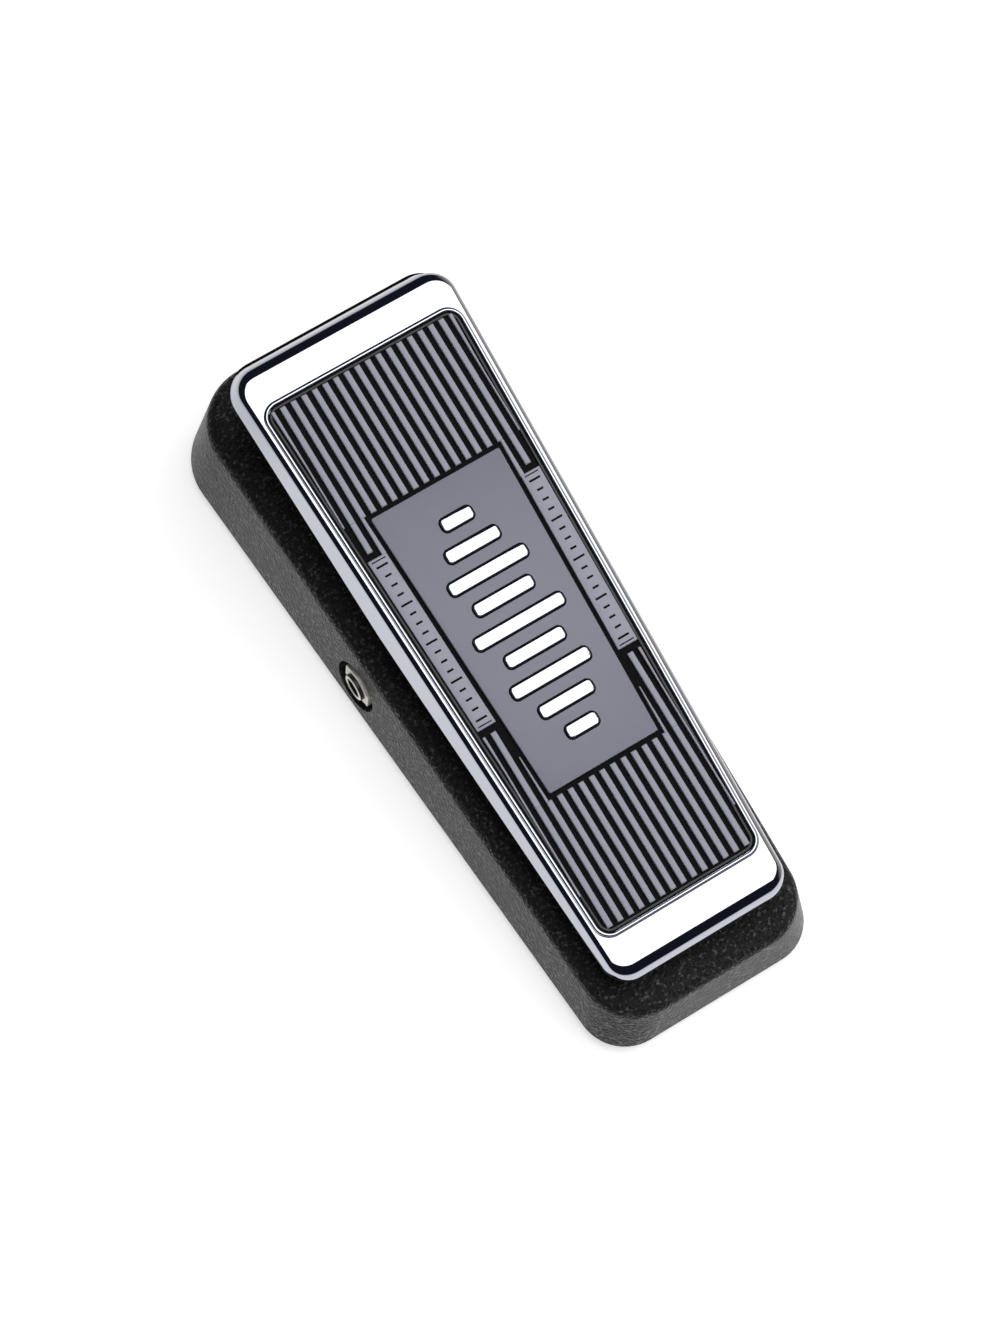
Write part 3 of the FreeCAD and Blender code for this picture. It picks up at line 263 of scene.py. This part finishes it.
MATERIALS = {
    "crinkle_paint": crinkle_paint(),
    "plate_paint": plain("plate_paint", (0.02, 0.02, 0.022), 0.45, grain=0.06, bump=0.25),
    "foot_rubber": plain("foot_rubber", (0.018, 0.018, 0.018), 0.7, grain=0.08, bump=0.3),
    "black_steel": plain("black_steel", (0.06, 0.06, 0.065), 0.38, metal=1.0, grain=0.05),
    "white_nylon": plain("white_nylon", (0.78, 0.77, 0.72), 0.42, grain=0.05),
    "switch_case": plain("switch_case", (0.03, 0.09, 0.30), 0.35, grain=0.05),
    "bright_steel": plain("bright_steel", (0.70, 0.70, 0.72), 0.22, metal=1.0, grain=0.05),
    "jack_plastic": plain("jack_plastic", (0.015, 0.015, 0.016), 0.33, grain=0.05),
    "zinc_steel": plain("zinc_steel", (0.58, 0.60, 0.63), 0.34, metal=1.0, grain=0.06),
    "board_laminate": plain("board_laminate", (0.02, 0.14, 0.05), 0.4, grain=0.05),
    "component_red": plain("component_red", (0.40, 0.04, 0.03), 0.3, grain=0.05),
    "component_sleeve": plain("component_sleeve", (0.03, 0.045, 0.14), 0.3, grain=0.05),
    "component_black": plain("component_black", (0.02, 0.02, 0.02), 0.45, grain=0.05),
    "component_tan": plain("component_tan", (0.60, 0.42, 0.22), 0.4, grain=0.05),
    "battery_case": plain("battery_case", (0.05, 0.05, 0.055), 0.32, metal=0.6, grain=0.05),
    "chrome": plain("chrome", (0.47, 0.49, 0.55), 0.05, metal=1.0, grain=0.012),
    "tread_rubber": plain("tread_rubber", (0.44, 0.45, 0.54), 0.42, grain=0.05, bump=0.12),
    "badge_grey": plain("badge_grey", (0.27, 0.275, 0.35), 0.36, grain=0.05, bump=0.1),
}
# Black for the tread's grooves, the strip marks and the badge outlines, and also painted shade on the band
# along the treadle skirt's lower edge.
BLACK_AND_PAINTED_SHADE = plain("black_and_painted_shade", (0.004, 0.004, 0.005), 0.6, grain=0.05)
BLACK_AND_PAINTED_SHADE.node_tree.nodes["Principled BSDF"].inputs["Specular IOR Level"].default_value = 0.08
CAST_INSIDE = plain("cast_inside", (0.50, 0.50, 0.52), 0.5, metal=1.0, grain=0.08, bump=0.3)
EDGE_RUBBER = plain("edge_rubber", (0.05, 0.05, 0.055), 0.5, grain=0.05)
SATIN_NICKEL = plain("satin_nickel", (0.93, 0.89, 0.80), 0.5, metal=0.35, grain=0.06)
JACK_METAL = ("output_jack_nut", "output_jack_washer", "input_jack_nut", "input_jack_washer")

SLOT_OF = {part["node"]: part["material_slot"] for part in frame["record"]["subparts"]}
for node_name, node in NODES.items():
    node.data.materials.clear()
    node.data.materials.append(SATIN_NICKEL if node_name in JACK_METAL else MATERIALS[SLOT_OF[node_name]])

# ---------------------------------------------------------------- mesh helpers


def make(name, verts, faces, materials, marks=None, home=TREADLE_FRAME):
    """A mesh object from points in millimetres, set in the treadle's frame unless told otherwise."""
    mesh = bpy.data.meshes.new(name)
    mesh.from_pydata([home @ (Vector(v) * MM) for v in verts], [], faces)
    for material in materials:
        mesh.materials.append(material)
    if marks:
        for polygon, mark in zip(mesh.polygons, marks):
            polygon.material_index = mark
    tool = bmesh.new()
    tool.from_mesh(mesh)
    bmesh.ops.recalc_face_normals(tool, faces=tool.faces)
    for edge in tool.edges:
        edge.smooth = edge.is_manifold and edge.calc_face_angle(0) < SMOOTH_BELOW
    for face in tool.faces:
        face.smooth = True
    tool.to_mesh(mesh)
    tool.free()
    thing = bpy.data.objects.new(name, mesh)
    bpy.context.scene.collection.objects.link(thing)
    return thing


def join(verts, faces, mesh):
    """Add a mesh's points and faces to the lists of a bigger one."""
    start = len(verts)
    verts.extend(mesh[0])
    faces.extend(tuple(start + i for i in face) for face in mesh[1])


def outline(shape, corner, side_in, toe_in, heel_in):
    """Points round a trapezoid with rounded corners, each with how far it is at an end (1) or a side (0)."""
    toe_half, toe, heel_half, heel = shape
    corners = [
        Vector((toe_half - side_in, toe - toe_in)),
        Vector((-toe_half + side_in, toe - toe_in)),
        Vector((-heel_half + side_in, -heel + heel_in)),
        Vector((heel_half - side_in, -heel + heel_in)),
    ]
    arcs = []
    for i, point in enumerate(corners):
        end_in = toe_in if i < 2 else heel_in
        radius = max(corner - (side_in + end_in) / 2, LEAST_RADIUS)
        back = (corners[i - 1] - point).normalized()
        onward = (corners[(i + 1) % 4] - point).normalized()
        half_angle = back.angle(onward) / 2
        centre = point + (back + onward).normalized() * (radius / math.sin(half_angle))
        start = point + back * (radius / math.tan(half_angle)) - centre
        sweep = math.pi - 2 * half_angle
        arc = []
        for step in range(ARC_STEPS + 1):
            share = step / ARC_STEPS
            turn = Matrix.Rotation(sweep * share, 2)
            arc.append((centre + turn @ start, share if i % 2 == 0 else 1 - share))
        arcs.append(arc)
    points = []
    for i, arc in enumerate(arcs):
        points += arc
        last, weight = arc[-1]
        first = arcs[(i + 1) % 4][0][0]
        points += [(last.lerp(first, k / RUN_STEPS), weight) for k in range(1, RUN_STEPS)]
    return points


def flat_ring(shape, corner, grow, height):
    return [(p.x, p.y, height) for p, _ in outline(shape, corner, -grow, -grow, -grow)]


def circle(radius, sides):
    angles = (2 * math.pi * k / sides for k in range(sides))
    return [(radius * math.cos(a), radius * math.sin(a)) for a in angles]


def rings_to_mesh(rings, capped=True, marks=None):
    """Points, faces and face marks of a skin drawn over rings that all have the same number of points."""
    count = len(rings[0])
    marks = marks or [0] * len(rings)
    verts = [tuple(p) for ring in rings for p in ring]
    faces, face_marks = [], []
    for r in range(len(rings) - 1):
        here, there = r * count, (r + 1) * count
        for i in range(count):
            after = (i + 1) % count
            faces.append((here + i, here + after, there + after, there + i))
            face_marks.append(marks[r])
    if capped:
        last = (len(rings) - 1) * count
        faces.append(tuple(range(count)))
        faces.append(tuple(last + i for i in range(count)))
        face_marks += [marks[0], marks[-1]]
    return verts, faces, face_marks


# ---------------------------------------------------------------- treadle

# Face marks of the shell: chrome outside, cast metal inside, and black painted shade on the band along the
# skirt's lower edge.
OUTSIDE, INSIDE, PAINTED_SHADE = 0, 1, 2


def skirt_edge(u):
    """Height of the skirt's lower edge: deepest beside the hinge, straight up to each end."""
    rise, run = SKIRT_RISE_TO_TOE if u >= SKIRT_DEEPEST_U else SKIRT_RISE_TO_HEEL
    return SKIRT_DEEPEST_W + abs(u - SKIRT_DEEPEST_U) * rise / run


def over_edge(rise):
    """A height that follows the skirt's lower edge."""
    return lambda u: skirt_edge(u) + rise


def down_wall(share):
    """A height part of the way down the wall, from its start to the lip."""
    return lambda u: WALL_START + share * (skirt_edge(u) - WALL_START + LIP_HEIGHT)


def rim_shape():
    """The rim's outline; at the toe it stands back from the skirt below it."""
    toe_half, toe, heel_half, heel = TREADLE
    return (toe_half, toe - TOE_SET_BACK, heel_half, heel)


def at_height(inset, height_of, toe_lip=0.0):
    """The treadle's wall at a height that may change along it; it spreads with depth."""
    toe_in = inset - toe_lip
    flared_in = inset - SKIRT_FLARE
    top = outline(rim_shape(), TREADLE_CORNER, inset, toe_in, inset)
    low = outline(rim_shape(), TREADLE_CORNER, flared_in, toe_in - TOE_FLARE, flared_in)
    ring = []
    for (a, _), (b, _) in zip(top, low):
        height = height_of(a.y)
        spot = a.lerp(b, -height / SKIRT_DEPTH)
        ring.append((spot.x, spot.y, height))
    return ring


def rim_ring(share):
    """A line part of the way round the rim, which is rounder at the ends than at the sides."""
    side_turn = math.pi / 2 - math.atan(SKIRT_FLARE / SKIRT_DEPTH)
    toe_turn = math.pi / 2 - math.atan(TOE_FLARE / SKIRT_DEPTH)

    def come_in(radius, turn):
        """How far the line stands in from the rim's own corner."""
        return radius * (math.tan(turn / 2) - math.sin(turn * share))

    def drop(radius, turn):
        """How far the line is below the top face."""
        return radius * (1 - math.cos(turn * share))

    side_in = come_in(SIDE_ROUND, side_turn)
    toe_in = come_in(TOE_ROUND, toe_turn)
    heel_in = come_in(HEEL_ROUND, side_turn)
    side_drop = drop(SIDE_ROUND, side_turn)
    ring = []
    for point, weight in outline(rim_shape(), TREADLE_CORNER, side_in, toe_in, heel_in):
        soft = weight * weight * (3 - 2 * weight)
        end_drop = drop(TOE_ROUND, toe_turn) if point.y > 0 else drop(HEEL_ROUND, side_turn)
        ring.append((point.x, point.y, -side_drop - (end_drop - side_drop) * soft))
    return ring


def treadle_rings():
    """The shell's lines from the tread's seat over the bead and rim, down the skirt and up inside it. A band
    along the skirt's lower edge is painted black as painted shade.
    """
    rings = [flat_ring(PAD, PAD_CORNER, 0, -PAD_RECESS)]
    rings += [flat_ring(PAD, PAD_CORNER, grow, height) for grow, height in BEAD]
    rings += [rim_ring(step / ROUND_STEPS) for step in range(ROUND_STEPS + 1)]
    rings += [at_height(0, down_wall(share)) for share in WALL_LINES]
    marks = [OUTSIDE] * len(rings)
    # The first three of these lines bound a black band of painted shade along the skirt's lower edge, all
    # round.
    for inset, height_of, toe_lip, mark in (
        (0, over_edge(0.9), 0, PAINTED_SHADE),
        (0, over_edge(LIP_HEIGHT), TOE_LIP, PAINTED_SHADE),
        (0.15, over_edge(0.13), TOE_LIP, PAINTED_SHADE),
        (0.5, over_edge(0), 0, OUTSIDE),
        (WALL - 0.4, over_edge(0), 0, INSIDE),
        (WALL, over_edge(0.4), 0, INSIDE),
        (WALL, lambda u: -TOP_THICKNESS - 1, 0, INSIDE),
        (WALL + 1, lambda u: -TOP_THICKNESS, 0, INSIDE),
    ):
        rings.append(at_height(inset, height_of, toe_lip))
        marks.append(mark)
    return rings, marks


def tab(x_low, x_high, centre_u, centre_w, radius):
    """A flat tab with a round lower end, hanging from the underside."""
    profile = [(centre_u + radius, ROOT_W)]
    for step in range(TAB_STEPS + 1):
        angle = -math.pi * step / TAB_STEPS
        profile.append((centre_u + radius * math.cos(angle), centre_w + radius * math.sin(angle)))
    profile.append((centre_u - radius, ROOT_W))
    rings = []
    for x, shrink in ((x_low, TAB_EDGE), (x_low + TAB_EDGE, 0), (x_high - TAB_EDGE, 0), (x_high, TAB_EDGE)):
        size = 1 - shrink / radius
        rings.append([
            (x, centre_u + (u - centre_u) * size, w if w == ROOT_W else centre_w + (w - centre_w) * size)
            for u, w in profile
        ])
    return rings_to_mesh(rings)


def post(x):
    """A round post under the heel, with a chamfered foot."""
    rings = []
    for w, radius in (
        (POST_FOOT_W, POST_RADIUS - POST_CHAMFER),
        (POST_FOOT_W + POST_CHAMFER, POST_RADIUS),
        (ROOT_W, POST_RADIUS),
    ):
        rings.append([(x + a, POST_U + b, w) for a, b in circle(radius, POST_SIDES)])
    return rings_to_mesh(rings)


def build_treadle():
    rings, marks = treadle_rings()
    verts, faces, face_marks = rings_to_mesh(rings, marks=marks)
    for side in (-1, 1):
        arm = tab(*sorted(side * x for x in ARM_X), *PIVOT, ARM_RADIUS)
        ear = tab(*sorted(side * x for x in EAR_X), *PIN, EAR_RADIUS)
        for mesh in (arm, ear, post(side * POST_X)):
            join(verts, faces, mesh)
            face_marks += [INSIDE] * len(mesh[1])
    shell = make("treadle_shell", verts, faces, [MATERIALS["chrome"], CAST_INSIDE, BLACK_AND_PAINTED_SHADE], face_marks)
    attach(shell, "treadle")
    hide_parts("treadle")


# ---------------------------------------------------------------- tread


def edge_at(shape, u):
    """Half width of a trapezoid at u."""
    toe_half, toe, heel_half, heel = shape
    return heel_half + (toe_half - heel_half) * (u + heel) / (toe + heel)


def border(u):
    """Half width of the field of ribs at u."""
    return edge_at(PAD, u) - BORDER


def beside_plate(u):
    """Half width that the badge and the gap beside it take at u."""
    return edge_at(PLATE, u) + PLATE_GAP


def strip_edge(side, which, u):
    """The low (0) or high (1) x of a side strip at u."""
    toe, heel = STRIPS[side]
    share = (u - STRIP_HEEL) / (STRIP_TOE - STRIP_HEEL)
    return heel[which] + (toe[which] - heel[which]) * share


def open_runs(low, high, u_from, u_to):
    """The stretches in which two edges that are functions of u are far enough apart for a bar."""
    runs, run = [], []
    for k in range(RIB_STEPS + 1):
        u = u_from + (u_to - u_from) * k / RIB_STEPS
        a, b = low(u), high(u)
        if b - a >= LEAST_WIDTH:
            run.append((u, a, b))
        elif run:
            runs.append(run)
            run = []
    if run:
        runs.append(run)
    return [run for run in runs if len(run) > 1]


def strip_mesh(low, high, u_from, u_to, base=RIB_BASE, top=RIB_TOP, soft=RIB_SOFT):
    """Raised bars with soft edges between two edges that are functions of u."""
    verts, faces = [], []
    for run in open_runs(low, high, u_from, u_to):
        cuts = [(*run[0], soft), *((*cut, 0) for cut in run), (*run[-1], soft)]
        rings = []
        for i, (u, a, b, drop) in enumerate(cuts):
            lip = min(soft, (b - a) / 3)
            crest = top - drop
            if i == 1:
                u += soft
            elif i == len(cuts) - 2:
                u -= soft
            rings.append([
                (a, u, base), (a, u, crest - lip * 0.9), (a + lip * 0.3, u, crest - lip * 0.3),
                (a + lip, u, crest), (b - lip, u, crest), (b - lip * 0.3, u, crest - lip * 0.3),
                (b, u, crest - lip * 0.9), (b, u, base),
            ])
        join(verts, faces, rings_to_mesh(rings))
    return verts, faces


def rib_bars(k):
    """The bars that a rib is made of."""
    middle = (k + 0.5) * RIB_PITCH
    a, b = middle - RIB_WIDTH / 2, middle + RIB_WIDTH / 2
    whole = (lambda u: max(a, -border(u)), lambda u: min(b, border(u)))

    # At the toe the outermost rib is a sliver along the border.
    at_toe = whole
    if k == LAST_RIB:
        at_toe = (lambda u: a, lambda u: min(b, max(border(u), a + TOE_SLIVER)))
    if k == -LAST_RIB - 1:
        at_toe = (lambda u: max(a, min(-border(u), b - TOE_SLIVER)), lambda u: b)
    bars = [strip_mesh(*at_toe, *TOE_RIBS), strip_mesh(*whole, *HEEL_RIBS)]

    # Towards the heel the next one in is a sliver.
    if k == LAST_RIB - 1:
        sliver = (lambda u: a, lambda u: a + max(border(u) - a, HEEL_SLIVER))
        bars.append(strip_mesh(*sliver, *SLIVER_RUN, top=SLIVER_TOP))
    if k == -LAST_RIB:
        sliver = (lambda u: b - max(b + border(u), HEEL_SLIVER), lambda u: b)
        bars.append(strip_mesh(*sliver, *SLIVER_RUN, top=SLIVER_TOP))

    # Beside the badge a rib stops short of the side strip, but two of them run into its toe end.
    if middle > 0:
        beside = (lambda u: max(a, beside_plate(u)), whole[1])
    else:
        beside = (whole[0], lambda u: min(b, -beside_plate(u)))
    meets_strip = k in (-LAST_RIB + 1, LAST_RIB - 2)
    stop = STRIP_TOE - STRIP_LAP if meets_strip else STOP_TOE
    bars.append(strip_mesh(*beside, stop, TOE_RIBS[0] + RIB_LAP))
    bars.append(strip_mesh(*beside, HEEL_RIBS[1] - RIB_LAP, STOP_HEEL))
    return bars


def build_ribs():
    """The ribs, with the plain strip on each side of the badge."""
    verts, faces = [], []
    for k in range(-LAST_RIB - 1, LAST_RIB + 1):
        for bar in rib_bars(k):
            join(verts, faces, bar)
    for side in STRIPS:
        low, high = partial(strip_edge, side, 0), partial(strip_edge, side, 1)
        join(verts, faces, strip_mesh(low, high, STRIP_HEEL, STRIP_TOE, soft=STRIP_SOFT))
    ribs = make("tread_ribs", verts, faces, [MATERIALS["tread_rubber"]])
    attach(ribs, "treadle")


def build_sheet():
    """The sheet that the ribs stand on, with its grey edge."""
    rings = [flat_ring(PAD, PAD_CORNER, -inward, height) for inward, height, _ in SHEET_RIM]
    marks = [mark for _, _, mark in SHEET_RIM]
    verts, faces, face_marks = rings_to_mesh(rings, marks=marks)
    sheet = make("tread_sheet", verts, faces, [BLACK_AND_PAINTED_SHADE, EDGE_RUBBER], face_marks)
    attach(sheet, "treadle")
    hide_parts("rubber_tread")


def mark_mesh(low_x, high_x, u, half):
    """A thin dark mark across a side strip."""
    return strip_mesh(lambda _: low_x, lambda _: high_x, u - half, u + half, MARK_BASE, MARK_TOP, MARK_SOFT)


def build_strip_marks():
    """Plain graduation marks along the two side strips, with a line across each end."""
    verts, faces = [], []
    length = STRIP_TOE - STRIP_HEEL - 2 * MARK_MARGIN
    for side in STRIPS:
        for i in range(MARK_COUNT):
            u = STRIP_HEEL + MARK_MARGIN + length * i / (MARK_COUNT - 1)
            middle = (strip_edge(side, 0, u) + strip_edge(side, 1, u)) / 2
            reach = SHORT_REACH if i % MARKS_PER_LONG_ONE else LONG_REACH
            join(verts, faces, mark_mesh(middle - reach, middle + reach, u, MARK_HALF))
        for u in (STRIP_TOE - END_LINE_MARGIN, STRIP_HEEL + END_LINE_MARGIN):
            low_x = strip_edge(side, 0, u) + END_LINE_SIDE
            high_x = strip_edge(side, 1, u) - END_LINE_SIDE
            join(verts, faces, mark_mesh(low_x, high_x, u, END_LINE_HALF))
    marks = make("strip_marks", verts, faces, [BLACK_AND_PAINTED_SHADE])
    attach(marks, "treadle")


# ---------------------------------------------------------------- badge


def build_plate():
    rings = [flat_ring(PLATE, PLATE_CORNER, grow, height) for grow, height in PLATE_PROFILE]
    verts, faces, _ = rings_to_mesh(rings)
    plate = make("badge_face", verts, faces, [MATERIALS["badge_grey"]])
    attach(plate, "treadle")
    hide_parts("badge_plate")


def bars_mesh(corner, profile):
    """One shape for each bar of the badge, side by side along it."""
    verts, faces = [], []
    for i, length in enumerate(BAR_LENGTHS):
        middle = BAR_MIDDLE + (i - len(BAR_LENGTHS) // 2) * BAR_PITCH
        shape = (length / 2, BAR_HALF_WIDTH, length / 2, BAR_HALF_WIDTH)
        rings = [
            [(x, u + middle, w) for x, u, w in flat_ring(shape, corner, grow, height)]
            for grow, height in profile
        ]
        join(verts, faces, rings_to_mesh(rings))
    return verts, faces


def build_bars():
    """Raised bright bars of different lengths, each with a dark outline on the plate."""
    bars = make("badge_bars_polished", *bars_mesh(BAR_CORNER, BAR_PROFILE), [MATERIALS["chrome"]])
    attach(bars, "treadle")
    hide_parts("badge_bars")
    outlines = make("badge_outlines", *bars_mesh(OUTLINE_CORNER, OUTLINE_PROFILE), [BLACK_AND_PAINTED_SHADE])
    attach(outlines, "treadle")


# ---------------------------------------------------------------- jack bushes


def build_bush_rings():
    """The bright turned face at the end of each jack's threaded bush."""
    verts, faces = [], []
    for side in (-1, 1):
        rings = [
            [(side * (BUSH_END + past), JACK_Y + a, JACK_Z + b) for a, b in circle(radius, BUSH_SIDES)]
            for past, radius in BUSH_FACE
        ]
        join(verts, faces, rings_to_mesh(rings + rings[:1], capped=False))
    bushes = make("jack_bush_faces", verts, faces, [SATIN_NICKEL], home=Matrix())
    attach(bushes, "base")


build_treadle()
build_ribs()
build_sheet()
build_strip_marks()
build_plate()
build_bars()
build_bush_rings()

# ---------------------------------------------------------------- floor, light and camera, in metres

HALF_FLOOR = 6.0
FLOOR_Z = -0.0002
FLOOR_GLOW = 0.66
FLOOR_FADE = (0.35, 1.1)
TOE_FADE = (0.09, 0.12)
GLOW_PAST_TOE = 0.62

ROOM_DIM = (0.012, 0.014, 0.022, 1)
ROOM_WARM = (0.62, 0.55, 0.47, 1)
ROOM_PALE = (0.86, 0.86, 0.86, 1)
WARM_SIDE = (0.62, 0.95)

LIGHT_SPOT = Vector((0.38, -0.16, 1.75))
LIGHT_AIM = Vector((0.0, 0.0, 0.05))
LIGHT_SIZE = 1.7
LIGHT_POWER = 23

CAMERA_SPOT = (-0.29719, -0.33223, 1.26045)
CAMERA_TURN = (20.7178, -2.4838, -32.0327)


def floor_white():
    """Pale paint with an even glow as the camera sees it. In reflections the glow fades with distance
    and is weaker past the toe."""
    paint = plain("floor_white", (0.85, 0.85, 0.85), 0.9)
    tree = paint.node_tree
    shader = tree.nodes["Principled BSDF"]
    shader.inputs["Emission Color"].default_value = (1, 1, 1, 1)
    shader.inputs["Specular IOR Level"].default_value = 0.1
    place = tree.nodes.new("ShaderNodeTexCoord")
    distance = tree.nodes.new("ShaderNodeVectorMath")
    distance.operation = "LENGTH"
    tree.links.new(place.outputs["Object"], distance.inputs[0])
    split = tree.nodes.new("ShaderNodeSeparateXYZ")
    tree.links.new(place.outputs["Object"], split.inputs[0])
    glow = tree.nodes.new("ShaderNodeMath")
    glow.operation = "MULTIPLY"
    feed(tree, glow.inputs[0], spread(tree, distance.outputs["Value"], FLOOR_FADE, (FLOOR_GLOW, 0.0)))
    feed(tree, glow.inputs[1], spread(tree, split.outputs["Y"], TOE_FADE, (1.0, GLOW_PAST_TOE)))
    sight = tree.nodes.new("ShaderNodeLightPath")
    strength = mix(tree, "FLOAT", sight.outputs["Is Camera Ray"], glow.outputs[0], FLOOR_GLOW)
    tree.links.new(strength, shader.inputs["Emission Strength"])
    return paint


def build_floor():
    mesh = bpy.data.meshes.new("floor")
    corners = ((-1, -1), (1, -1), (1, 1), (-1, 1))
    mesh.from_pydata([(x * HALF_FLOOR, y * HALF_FLOOR, FLOOR_Z) for x, y in corners], [], [(0, 1, 2, 3)])
    mesh.materials.append(floor_white())
    floor = bpy.data.objects.new("floor", mesh)
    bpy.context.scene.collection.objects.link(floor)


def build_room():
    """Pale as the camera sees it. In reflections it is dim, with a soft warm light far to the right."""
    world = bpy.data.worlds.new("studio")
    bpy.context.scene.world = world
    world.use_nodes = True
    tree = world.node_tree
    way = tree.nodes.new("ShaderNodeTexCoord")
    split = tree.nodes.new("ShaderNodeSeparateXYZ")
    tree.links.new(way.outputs["Generated"], split.inputs[0])
    mirrored = mix(tree, "RGBA", spread(tree, split.outputs["X"], WARM_SIDE), ROOM_DIM, ROOM_WARM)
    sight = tree.nodes.new("ShaderNodeLightPath")
    seen = mix(tree, "RGBA", sight.outputs["Is Camera Ray"], mirrored, ROOM_PALE)
    backdrop = tree.nodes["Background"]
    backdrop.inputs["Strength"].default_value = 1.0
    tree.links.new(seen, backdrop.inputs["Color"])


def build_light():
    """One large soft light overhead."""
    light = bpy.data.lights.new("overhead", "AREA")
    light.shape = "SQUARE"
    light.size = LIGHT_SIZE
    light.energy = LIGHT_POWER
    thing = bpy.data.objects.new("overhead", light)
    bpy.context.scene.collection.objects.link(thing)
    thing.location = LIGHT_SPOT
    thing.rotation_euler = (LIGHT_AIM - LIGHT_SPOT).to_track_quat("-Z", "Y").to_euler()


def build_camera():
    camera_data = bpy.data.cameras.new("camera")
    camera_data.sensor_width = 36.0
    camera_data.lens = 113.3
    camera_data.shift_x = 0.0495
    camera_data.shift_y = -0.0707
    camera_data.clip_start = 0.01
    camera = bpy.data.objects.new("camera", camera_data)
    bpy.context.scene.collection.objects.link(camera)
    camera.location = CAMERA_SPOT
    camera.rotation_euler = Euler([math.radians(a) for a in CAMERA_TURN], "XYZ")
    bpy.context.scene.camera = camera


build_floor()
build_room()
build_light()
build_camera()
bpy.context.scene.view_settings.view_transform = "Standard"
